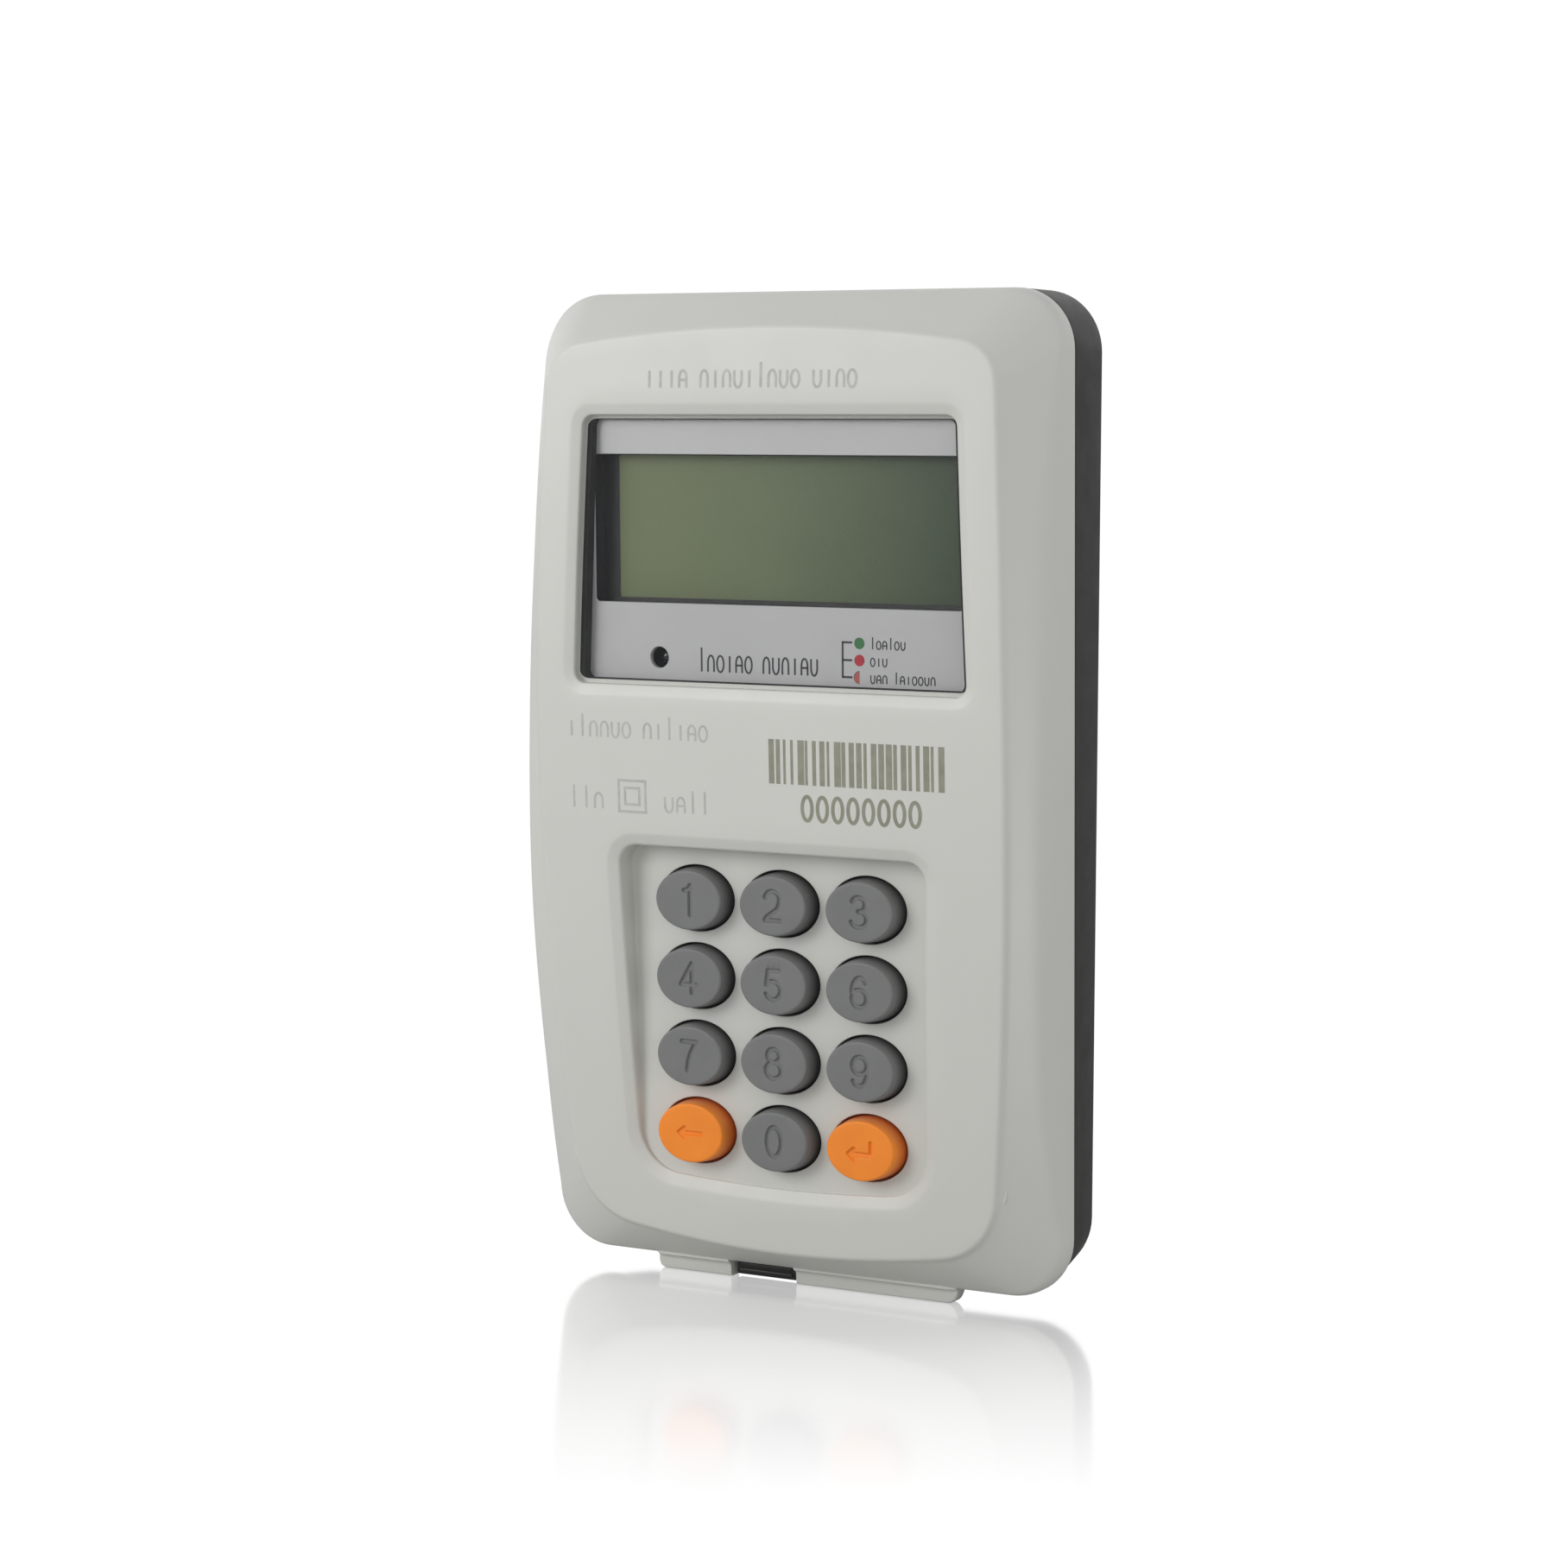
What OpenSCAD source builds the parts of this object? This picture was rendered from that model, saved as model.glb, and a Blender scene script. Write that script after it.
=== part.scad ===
// Wall-mounted keypad and display unit of a split prepaid electricity meter.
// The wall face is the plane Y = 0, the keys face -Y, +Z is up, and Z = 0 is half way up the case.

/* [Case] */
// Width of the case
body_w = 88.2; // [84:0.1:96]
// Height of the case, without the flange under it
body_h = 147.6; // [144:0.1:156]
// Depth from the wall to the highest line of the face
body_d = 23.7; // [23.5:0.1:26]
// Depth of the rear shell
base_d = 9.5; // [9.3:0.1:10]
// Corner radius of the case, seen from the front
corner_r = 9; // [7:0.5:11]
// Wall thickness of both shells
wall = 2; // [1.8:0.1:2.2]
// Gap between the two shells
part_gap = 0.1; // [0.05:0.05:0.2]

/* [Raised face] */
// Half the width of the raised face at its widest
face_half_w = 39.4; // [38:0.1:40]
// Top of the raised face on the centre line
face_top = 68.5; // [67:0.1:69.5]
// Bottom of the raised face on the centre line
face_bottom = -70; // [-71:0.1:-68]
// Height of the face's highest line
face_apex_z = 24; // [15:1:30]
// Radius of the face's slow vertical curve
face_curve_r = 850; // [800:10:1200]

/* [Window] */
// Top edge of the window
win_top = 55.7; // [54:0.1:56.5]
// Bottom edge of the window
win_bottom = 15.4; // [14.5:0.1:17]
// Half the width of the window at the top
win_half_top = 31.6; // [31:0.1:32]
// Half the width of the window at the bottom
win_half_bottom = 33.4; // [32:0.1:33.8]
// Thickness of the clear lens
lens_t = 1.5; // [1:0.1:1.6]

/* [Keypad] */
// Distance between key columns
pitch_x = 14.65; // [14.4:0.05:15]
// Distance between key rows
pitch_z = 11.84; // [11.7:0.02:12.1]
// Height of the first row of keys
key_row_z = -16.9; // [-17.5:0.1:-16.5]
// Width of a key
key_w = 12.3; // [11.5:0.1:12.6]
// Height of a key
key_h = 9.5; // [9:0.1:9.8]
// How far a key travels
key_travel = 1.0; // [0.8:0.05:1.1]

/* [Wall fixing] */
// Distance between the two wall screws
wall_screw_pitch = 60; // [50:0.5:60]
// Radius of a wall-screw hole
wall_screw_r = 2.2; // [1.8:0.1:2.6]
// Width of the cable entry
entry_w = 30; // [24:1:34]
// Height of the cable entry
entry_h = 24; // [20:1:26]

/* [Hidden] */

$fn = 48;
hull_fn = 32;
cut = 0.5;                            // how far a cutting solid runs past a face
far = 40;                             // a depth well in front of the case
half_w = body_w / 2;
half_h = body_h / 2;
face_y = -body_d;                     // the face at its highest line
parting_y = -base_d;                  // where the two shells meet
front_back_y = parting_y - part_gap;  // rear edge of the front shell

// Main board
pcb_front = -12.8;
pcb_back = -11.2;
pcb_half_w = 39;
pcb_half_h = 66;
pcb_corner_r = 7;
boss_r = 3;
pilot_r = 1.15;
screw_x = 34.5;
screw_heights = [60, 5, -57];
screw_places = [for (z = screw_heights, side = [-1, 1]) [side * screw_x, z]];

// Display
lens_front = face_y + 1.0;
lens_back = lens_front + lens_t;
tape_t = 0.05;                        // adhesive tape under the lens
fascia_front = -19.8;
fascia_back = -19.0;
glass_front = -17.0;
lcd_z = 38.7;
lcd_view_w = 62.5;
lcd_view_h = 22.2;
led_x = -20.1;
led_z = 19.4;
led_hole_r = 1.6;

// Keypad
key_top = -21.3;
floor_front = -18.4;
floor_back = -16.9;
mat_front = -14.0;
key_skirt_back = mat_front - key_travel - 0.2;
key_skirt_front = key_skirt_back - 1.2;
pill_back = pcb_front - key_travel - 0.1;
pill_front = pill_back - 0.4;
mat_half_w = 26.5;
mat_top = -7.5;
mat_bottom = -62;
key_gap = 0.35;                       // between a key and its hole
key_columns = [-1, 0, 1];

// Catch at the bottom and hooks at the top
notch_left = -13.1;
notch_right = -1.6;
flange_half_w = 26;
flange_bottom = -76.2;
flange_front = -12.0;
hook_x = 25;
hook_w = 8;
hinge_z = half_h;

// ---- Outlines and helpers ----

// Extrudes a front-view outline from y_front back to y_back
module slab(y_front, y_back) {
    translate([0, y_back, 0])
        rotate([90, 0, 0])
            linear_extrude(y_back - y_front)
                children();
}

// A block given by its two corners
module block(low, high) {
    translate(low)
        cube(high - low);
}

// A round bar along Y from y_front back to y_back
module rod(place, r, y_front, y_back) {
    translate([place[0], y_back, place[1]])
        rotate([90, 0, 0])
            cylinder(r = r, h = y_back - y_front);
}

module rounded_rect(w, h, r) {
    square([w - 2 * r, h], center = true);
    square([w, h - 2 * r], center = true);
    for (x = [-1, 1], y = [-1, 1])
        translate([x * (w / 2 - r), y * (h / 2 - r)])
            circle(r);
}

function arc(centre, r, a0, a1, n) =
    [for (i = [0:n])
        centre + r * [cos(a0 + (a1 - a0) * i / n), sin(a0 + (a1 - a0) * i / n)]];

// A panel outline with upright sides that may lean, a bottom edge that may sag, and rounded corners
function panel_outline(half_top, half_bottom, top, bottom, r_top, r_bottom, sag, grow) = concat(
    arc([half_bottom - r_bottom, bottom + sag + r_bottom], r_bottom + grow, -84, 0, 8),
    arc([half_top - r_top, top - r_top], r_top + grow, 0, 90, 6),
    arc([r_top - half_top, top - r_top], r_top + grow, 90, 180, 6),
    arc([r_bottom - half_bottom, bottom + sag + r_bottom], r_bottom + grow, 180, 264, 8),
    [for (t = [-0.6, -0.3, 0, 0.3, 0.6])
        [t * half_bottom, bottom - grow + sag * t * t * 1.2]]);

module window_outline(grow) {
    polygon(panel_outline(win_half_top, win_half_bottom, win_top, win_bottom, 1.8, 1.8, 0, grow));
}

module keypad_outline(grow) {
    polygon(panel_outline(26.2, 24.4, -8.9, -60.1, 3, 7, 1.2, grow));
}

function oval(w, h) = [for (i = [0:35]) [w / 2 * cos(i * 10), h / 2 * sin(i * 10)]];

// Half-width of the raised face at height z: widest near the middle, narrowing more at the bottom
function face_half_at(z) = face_half_w - pow(z - 3, 2) / (z > 3 ? 2080 : 1100);

// The raised face, seen from the front: barrel sides, arched top and bottom, round corners
module face_outline() {
    top_x = 31;
    bottom_x = 25;
    polygon(concat(
        [for (x = [-top_x:top_x / 3:top_x]) [x, face_top - x * x / 474]],
        [for (z = [59:-12:-55]) [face_half_at(z), z]],
        [for (x = [bottom_x:-bottom_x / 3:-bottom_x]) [x, face_bottom + x * x / 324]],
        [for (z = [-55:12:60]) [-face_half_at(z), z]]));
    for (side = [-1, 1]) {
        translate([side * (face_half_at(59) - 6.5), face_top - 2.2 - 6.5])
            circle(6.5, $fn = hull_fn);
        translate([side * (face_half_at(-57) - 11), face_bottom + 2 + 11])
            circle(11, $fn = hull_fn);
    }
}

// Depth of the curved face at height z
function face_at(z) = face_y + pow(z - face_apex_z, 2) / (2 * face_curve_r);

// Height of the soft crease on the side wall above the parting plane
function crease_at(z) = 10.6 - pow(z + 3, 2) / 850;

// The whole front unit as one block, pulled in by t, and started at y_back
module front_block(t, y_back) {
    hull() {
        slab(parting_y - 4.4 + t, y_back)
            rounded_rect(body_w - 2 * t, body_h - 2 * t, corner_r - t, $fn = hull_fn);
        rotate([90, 0, 90])
            translate([0, 0, t - half_w])
                linear_extrude(body_w - 2 * t)
                    polygon(concat(
                        [for (z = [62:-12:-58]) [parting_y - crease_at(z) + t, z]],
                        [[y_back, -58], [y_back, 62]]));
        intersection() {
            slab(-far, parting_y - 3)
                offset(delta = -t)
                    face_outline();
            rotate([90, 0, 90])
                translate([0, 0, -half_w])
                    linear_extrude(body_w)
                        polygon(concat(
                            [for (z = [half_h:-14.76:-half_h]) [face_at(z) + t, z]],
                            [[parting_y, -half_h], [parting_y, half_h]]));
        }
    }
}

// ---- Wall half ----

// Outline of the rear shell at the parting plane (share 0) and at the wall (share 1), pulled in by t
module base_layer(share, t, y_front, y_back) {
    lean_top = 0.2 * share + t;
    lean_bottom = 2.5 * share + t;
    z_top = half_h - 0.6 - t;
    z_bottom = -half_h + 0.4 + 1.2 * share + t;
    r = corner_r - t;
    slab(y_front, y_back)
        hull()
            for (side = [-1, 1]) {
                translate([side * (half_w - lean_top - r), z_top - r])
                    circle(r, $fn = hull_fn);
                translate([side * (half_w - lean_bottom - r), z_bottom + r])
                    circle(r, $fn = hull_fn);
            }
}

module rear_shell() {
    plate_front = -wall;
    skin = 0.2;
    rib_t = 1.4;
    color("#3b3b39")
    difference() {
        union() {
            difference() {
                hull() {
                    base_layer(0, 0, parting_y, parting_y + skin);
                    base_layer(1, 0, -skin, 0);
                }
                hull() {
                    base_layer(0, wall, parting_y - cut, parting_y + skin);
                    base_layer(1, wall, plate_front - skin, plate_front);
                }
            }
            // posts under the cable clamp
            for (side = [-1, 1])
                rod([side * 10, -19], 2.6, -5, plate_front);
            // raised seats round the wall-screw holes
            for (side = [-1, 1])
                rod([0, side * wall_screw_pitch / 2], 5.5, -2.8, plate_front);
            // guides either side of the release latch
            for (x = [-11.9, -3.9])
                block([x, -8.2, -71], [x + rib_t, plate_front, -65.4]);
            // stop behind the latch spring
            block([-11.9, -8.2, -65.4], [-2.5, plate_front, -64]);
        }
        // wall-screw holes
        for (side = [-1, 1])
            rod([0, side * wall_screw_pitch / 2], wall_screw_r, -4, cut);
        // cable entry
        block([-entry_w / 2, -4, -entry_h / 2], [entry_w / 2, cut, entry_h / 2]);
        // screw pilots in the clamp posts
        for (side = [-1, 1])
            rod([side * 10, -19], 1.1, -5 - cut, -2.4);
        // pockets that the hook lips sit in
        for (side = [-1, 1])
            block([side * hook_x - hook_w / 2 - 0.5, -8.9, hinge_z - 3.2],
                  [side * hook_x + hook_w / 2 + 0.5, -6.4, hinge_z - 1.6]);
    }
}

terminal_x = [-9, 0, 9];

module terminal_block() {
    color("#4d6b52")
    difference() {
        block([-14, -9, -62], [14, -2, -50]);
        for (x = terminal_x) {
            // cavity of the clamp, its screw well, and the wire entry above it
            block([x - 2.7, -7.2, -59.5], [x + 2.7, -3, -52.5]);
            rod([x, -56], 2.2, -9 - cut, -7);
            block([x - 1.7, -6.6, -53], [x + 1.7, -3.4, -50 + cut]);
        }
    }
}

module terminal_clamps() {
    color("#c9a24b")
    for (x = terminal_x)
        difference() {
            block([x - 2.5, -7.0, -59], [x + 2.5, -3.2, -53]);
            block([x - 1.6, -6.0, -59 - cut], [x + 1.6, -3.9, -53 + cut]);
            rod([x, -56], 1.3, -7.0 - cut, -5.5);
        }
}

// A slotted pan-head screw driven from the front, its head's face at y_head
module screw(place, head_r, head_t, shank_r, length, y_head) {
    difference() {
        rod(place, head_r, y_head, y_head + head_t);
        block([place[0] - head_r, y_head - cut, place[1] - 0.35],
              [place[0] + head_r, y_head + head_t * 0.45, place[1] + 0.35]);
    }
    rod(place, shank_r, y_head + head_t, y_head + head_t + length);
}

module terminal_screws() {
    color("silver")
    for (x = terminal_x)
        screw([x, -56], 1.9, 1.2, 1.25, 1.8, -8.6);
}

dock_pins_x = [-6, -2, 2, 6];
dock_z = -43;

module dock_socket() {
    color("#2c2c2c")
    difference() {
        block([-9, -8, dock_z - 3], [9, -2, dock_z + 3]);
        for (x = dock_pins_x)
            block([x - 0.9, -8 - cut, dock_z - 1.2], [x + 0.9, -4, dock_z + 1.2]);
    }
}

module cable_clamp() {
    color("#2f2f2e")
    difference() {
        block([-13.5, -7.4, -21.5], [13.5, -5, -16.5]);
        for (side = [-1, 1])
            rod([side * 10, -19], 1.5, -7.4 - cut, -5 + cut);
        // grip teeth on the side that holds the cable
        for (x = [-4.5:3:4.5])
            block([x - 0.5, -5.6, -21.5 - cut], [x + 0.5, -5 + cut, -16.5 + cut]);
    }
}

module clamp_screws() {
    color("silver")
    for (side = [-1, 1])
        screw([side * 10, -19], 2.4, 1.3, 1.05, 4.2, -8.7);
}

// Flat steel spring, bowed between the latch and its stop
module latch_spring() {
    low = -68.5;
    high = -65.5;
    t = 0.25;
    color("#b8bcc0")
    slab(-7.4, -5.2)
        polygon(concat(
            [for (i = [0:8]) [-10.2 + i * 0.75, low + (high - low - t) * sin(i * 22.5)]],
            [for (i = [8:-1:0]) [-10.2 + i * 0.75, low + t + (high - low - t) * sin(i * 22.5)]]));
}

module release_latch() {
    color("#353533") {
        block([notch_left + 0.5, -11.4, -75.9], [notch_right - 0.5, -9.8, -67.7]);
        block([-10.2, -9.8, -70.2], [-4.2, -4.2, -68.6]);
    }
}

// ---- Front half ----

module front_shell() {
    hook_front = front_back_y - 3.6;
    color("#d8d8d2")
    difference() {
        union() {
            difference() {
                front_block(0, front_back_y);
                front_block(wall, front_back_y + cut);
            }
            intersection() {
                front_block(0.6, front_back_y);
                union() {
                    // tray that the keys stand in, and the skirt that holds the mat down
                    slab(-far, floor_back)
                        keypad_outline(1.6);
                    difference() {
                        slab(-far, mat_front)
                            keypad_outline(1.6);
                        slab(-far, mat_front + cut)
                            keypad_outline(0.2);
                    }
                    // frame that the lens and the fascia seat on
                    slab(-far, fascia_front)
                        window_outline(2.2);
                    // screw bosses
                    for (place = screw_places)
                        rod(place, boss_r, -far, pcb_front);
                    // hooks behind the top wall
                    for (side = [-1, 1])
                        block([side * hook_x - hook_w / 2, hook_front, 69.9],
                              [side * hook_x + hook_w / 2, front_back_y, half_h]);
                }
            }
            for (side = [-1, 1]) {
                block([side * hook_x - hook_w / 2, front_back_y - cut, 69.9],
                      [side * hook_x + hook_w / 2, parting_y + 2.4, hinge_z - 2.9]);
                block([side * hook_x - hook_w / 2, parting_y + 1.6, 70.5],
                      [side * hook_x + hook_w / 2, parting_y + 2.4, hinge_z - 2.15]);
            }
            // flange under the case
            slab(flange_front, front_back_y) {
                translate([0, (flange_bottom - 66) / 2])
                    rounded_rect(2 * flange_half_w, -66 - flange_bottom, 2);
            }
        }
        // inside of the case behind the flange
        block([-flange_half_w - 2, -13.5, -71.8], [flange_half_w + 2, -9, -65]);
        // window, down to the ledge that the lens lies on, and through
        slab(-far, lens_back + tape_t)
            window_outline(0);
        slab(-far, -9)
            window_outline(-0.6);
        // keypad tray and the key holes in its floor
        slab(-far, floor_front)
            keypad_outline(0);
        for (row = [0:3], column = key_columns)
            slab(floor_front - cut, floor_back + cut)
                translate([column * pitch_x, key_row_z - row * pitch_z])
                    polygon(oval(key_w + 2 * key_gap, key_h + 2 * key_gap));
        // pilots in the bosses
        for (place = screw_places)
            rod(place, pilot_r, -19, pcb_front + cut);
        // notch for the release latch: through the flange, and behind the lower wall of the case
        block([notch_left, flange_front - cut, flange_bottom - cut], [notch_right, -9, -half_h]);
        block([notch_left, -11.7, -half_h - cut], [notch_right, -9, -71]);
    }
}

module window_lens() {
    color("#e8f0f2", 0.35)
    slab(lens_front, lens_back)
        window_outline(-0.15);
}

module lens_gasket() {
    color("#222222")
    difference() {
        slab(lens_back, lens_back + tape_t)
            window_outline(-0.2);
        slab(lens_back - cut, lens_back + cut)
            window_outline(-0.5);
    }
}

module display_fascia() {
    color("#b4b5b6")
    difference() {
        slab(fascia_front, fascia_back)
            window_outline(1.4);
        slab(fascia_front - cut, fascia_back + cut)
            translate([0, lcd_z])
                square([lcd_view_w, lcd_view_h], center = true);
        rod([led_x, led_z], led_hole_r, fascia_front - cut, fascia_back + cut);
    }
}

holder_low = 22.4;
holder_high = 55.4;
pocket_half_w = 33.2;
pocket_low = 25;
pocket_high = 52.4;

module lcd_holder() {
    color("#232322")
    difference() {
        block([-35, fascia_back, holder_low], [35, pcb_front, holder_high]);
        slab(fascia_back - cut, -10)
            translate([0, lcd_z])
                square([lcd_view_w, lcd_view_h], center = true);
        block([-pocket_half_w, glass_front - 0.2, pocket_low],
              [pocket_half_w, -10, pocket_high]);
    }
}

// A flat rectangular layer of the display stack
module layer(half_width, low, high, y_front, y_back) {
    block([-half_width, y_front, low], [half_width, y_back, high]);
}

module lcd_polarisers() {
    color("#6f7a63") {
        layer(32.4, 27, 51.4, glass_front - 0.2, glass_front);
        layer(32.4, 28.6, 51.4, glass_front + 1.8, glass_front + 2.0);
    }
}

module lcd_front_glass() {
    color("#9db08e", 0.5)
    layer(33, pocket_low + 0.2, pocket_high - 0.2, glass_front, glass_front + 0.9);
}

module lcd_rear_glass() {
    color("#9db08e", 0.5)
    layer(33, 28.2, pocket_high - 0.2, glass_front + 0.9, glass_front + 1.8);
}

module backlight() {
    color("#dfe6c8")
    layer(32.6, 28.2, pocket_high - 0.2, glass_front + 2.0, pcb_front);
}

module zebra_strip() {
    color("#30302c")
    layer(31, pocket_low + 0.4, 27.4, glass_front + 0.9, pcb_front);
}

module status_led() {
    color("#e9e9e4")
    difference() {
        union() {
            rod([led_x, led_z], 1.45, -18.2, -14.6);
            rod([led_x, led_z], 1.8, -14.6, -13.8);
            for (side = [-1, 1])
                block([led_x + side * 0.9 - 0.22, -13.8, led_z - 0.22],
                      [led_x + side * 0.9 + 0.22, pcb_back + 0.8, led_z + 0.22]);
        }
        // flat that marks the cathode side
        block([led_x + 1.55, -15, led_z - 2], [led_x + 3, -13.7, led_z + 2]);
    }
}

module led_spacer() {
    color("#2c2c2b")
    difference() {
        rod([led_x, led_z], 2.3, -13.75, pcb_front);
        for (side = [-1, 1])
            block([led_x + side * 0.9 - 0.4, -14, led_z - 0.4],
                  [led_x + side * 0.9 + 0.4, -12, led_z + 0.4]);
    }
}

module main_pcb() {
    color("#2f6b3f")
    difference() {
        slab(pcb_front, pcb_back)
            rounded_rect(2 * pcb_half_w, 2 * pcb_half_h, pcb_corner_r);
        for (place = screw_places)
            rod(place, 1.5, pcb_front - cut, pcb_back + cut);
        for (side = [-1, 1])
            rod([led_x + side * 0.9, led_z], 0.4, pcb_front - cut, pcb_back + cut);
    }
}

module pcb_screws() {
    head_t = 1.4;
    color("silver")
    for (place = screw_places) {
        difference() {
            rod(place, 2.4, pcb_back, pcb_back + head_t);
            block([place[0] - 1.5, pcb_back + 0.7, place[1] - 0.3],
                  [place[0] + 1.5, pcb_back + head_t + cut, place[1] + 0.3]);
            block([place[0] - 0.3, pcb_back + 0.7, place[1] - 1.5],
                  [place[0] + 0.3, pcb_back + head_t + cut, place[1] + 1.5]);
        }
        rod(place, 1.1, pcb_front - 4.5, pcb_back);
    }
}

// A flat-pack chip on the back of the board, with its legs
module chip(centre, w, h, t, legs, pitch) {
    block([centre[0] - w / 2, pcb_back + 0.1, centre[1] - h / 2],
          [centre[0] + w / 2, pcb_back + t, centre[1] + h / 2]);
    for (side = [-1, 1], i = [0:legs - 1])
        block([centre[0] + side * (w / 2 + 0.35) - 0.45, pcb_back, centre[1] + (i - (legs - 1) / 2) * pitch - 0.2],
              [centre[0] + side * (w / 2 + 0.35) + 0.45, pcb_back + 0.35,
               centre[1] + (i - (legs - 1) / 2) * pitch + 0.2]);
}

module microcontroller() {
    color("#1d1d1f")
    chip([20, 34], 10, 10, 1.5, 10, 0.9);
}

module modem_chip() {
    color("#1d1d1f")
    chip([-18, 34], 7.6, 12, 2.2, 9, 1.27);
}

module crystal() {
    color("#c9ccce")
    slab(pcb_back, pcb_back + 3.4)
        translate([20, 24])
            rounded_rect(10.5, 4, 1.9);
}

// A wound component: ferrite core with a winding bobbin through it
module wound_part(centre, w, h, t) {
    block([centre[0] - w / 2, pcb_back, centre[1] - h / 2],
          [centre[0] + w / 2, pcb_back + 1.2, centre[1] + h / 2]);
    block([centre[0] - w * 0.3, pcb_back + 1.2, centre[1] - h * 0.46],
          [centre[0] + w * 0.3, pcb_back + t, centre[1] + h * 0.46]);
    block([centre[0] - w / 2, pcb_back + 1.2, centre[1] - h * 0.3],
          [centre[0] + w / 2, pcb_back + t * 0.86, centre[1] + h * 0.3]);
}

module coupling_transformer() {
    color("#3a3a3d")
    wound_part([-28, 18], 12, 12, 6.5);
}

module supply_transformer() {
    color("#c8b04a")
    wound_part([-27, -24], 18, 17, 8);
}

module filter_capacitor() {
    color("#d8b23a")
    block([16, pcb_back, -62], [31, pcb_back + 7.4, -48.5]);
}

module varistor() {
    color("#2d5f8a")
    rod([-26, -50], 5, pcb_back, pcb_back + 3.4);
}

module fuse() {
    color("#d9d2c0")
    translate([26, pcb_back + 3, -40])
        rotate([0, 90, 0])
            translate([0, 0, -8])
                cylinder(r = 2.6, h = 16);
}

module smoothing_capacitors() {
    color("#2a2f52")
    for (z = [-4, -17])
        translate([31, pcb_back + 4.2, z])
            rotate([0, -90, 0])
                cylinder(r = 4, h = 12);
}

module rectifier() {
    color("#1d1d1f")
    block([-34, pcb_back, -5], [-26, pcb_back + 3.2, 2]);
}

module buzzer() {
    color("#222222")
    difference() {
        rod([0, 50], 6, pcb_back, pcb_back + 5.5);
        rod([0, 50], 1, pcb_back + 4, pcb_back + 6);
    }
}

module dock_pins() {
    color("#c9a24b")
    for (x = dock_pins_x)
        block([x - 0.4, -9, dock_z - 0.4], [x + 0.4, -4.6, dock_z + 0.4]);
    color("#2c2c2b")
    block([-9, pcb_back, dock_z - 2.5], [9, -8.6, dock_z + 2.5]);
}

module keypad_mat() {
    color("#8b8c8c")
    difference() {
        block([-mat_half_w, mat_front, mat_bottom], [mat_half_w, pcb_front, mat_top]);
        for (row = [0:3], column = key_columns)
            rod([column * pitch_x, key_row_z - row * pitch_z], 3.7, mat_front - cut, pcb_front + cut);
    }
}

// Place of key number i, counted along the rows from the top left
function key_place(i) = [(i % 3 - 1) * pitch_x, key_row_z - floor(i / 3) * pitch_z];

// One key: an oval cap with a rounded top edge, a skirt behind the floor, and a stem over the board
module key(i, tint) {
    edge = 0.45;
    color(tint)
    translate([key_place(i)[0], 0, key_place(i)[1]]) {
        slab(key_top, key_top + edge)
            polygon(oval(key_w - 2 * edge, key_h - 2 * edge));
        slab(key_top + edge, key_skirt_front)
            polygon(oval(key_w, key_h));
        slab(key_skirt_front, key_skirt_back)
            polygon(oval(key_w + 1.6, key_h + 1.4));
        rod([0, 0], 3.2, key_skirt_back, pill_front);
    }
}

// The carbon contact pill under key number i
module pill(i) {
    color("#1a1a1a")
    rod(key_place(i), 2, pill_front, pill_back);
}

rear_shell();
terminal_block();
terminal_clamps();
terminal_screws();
dock_socket();
cable_clamp();
clamp_screws();
latch_spring();
release_latch();
front_shell();
window_lens();
lens_gasket();
display_fascia();
lcd_holder();
lcd_polarisers();
lcd_front_glass();
lcd_rear_glass();
backlight();
zebra_strip();
status_led();
led_spacer();
main_pcb();
pcb_screws();
microcontroller();
modem_chip();
crystal();
coupling_transformer();
supply_transformer();
filter_capacitor();
varistor();
fuse();
smoothing_capacitors();
rectifier();
buzzer();
dock_pins();
keypad_mat();
key(0, "#747475");  // key_1
key(1, "#747475");  // key_2
key(2, "#747475");  // key_3
key(3, "#747475");  // key_4
key(4, "#747475");  // key_5
key(5, "#747475");  // key_6
key(6, "#747475");  // key_7
key(7, "#747475");  // key_8
key(8, "#747475");  // key_9
key(9, "#df8134");  // key_back
key(10, "#747475");  // key_0
key(11, "#df8134");  // key_enter
pill(0);  // pill_1
pill(1);  // pill_2
pill(2);  // pill_3
pill(3);  // pill_4
pill(4);  // pill_5
pill(5);  // pill_6
pill(6);  // pill_7
pill(7);  // pill_8
pill(8);  // pill_9
pill(9);  // pill_back
pill(10);  // pill_0
pill(11);  // pill_enter
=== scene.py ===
import math
import random

import bmesh
import bpy
import numpy as np
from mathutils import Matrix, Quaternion, Vector
from mathutils.geometry import delaunay_2d_cdt


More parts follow.
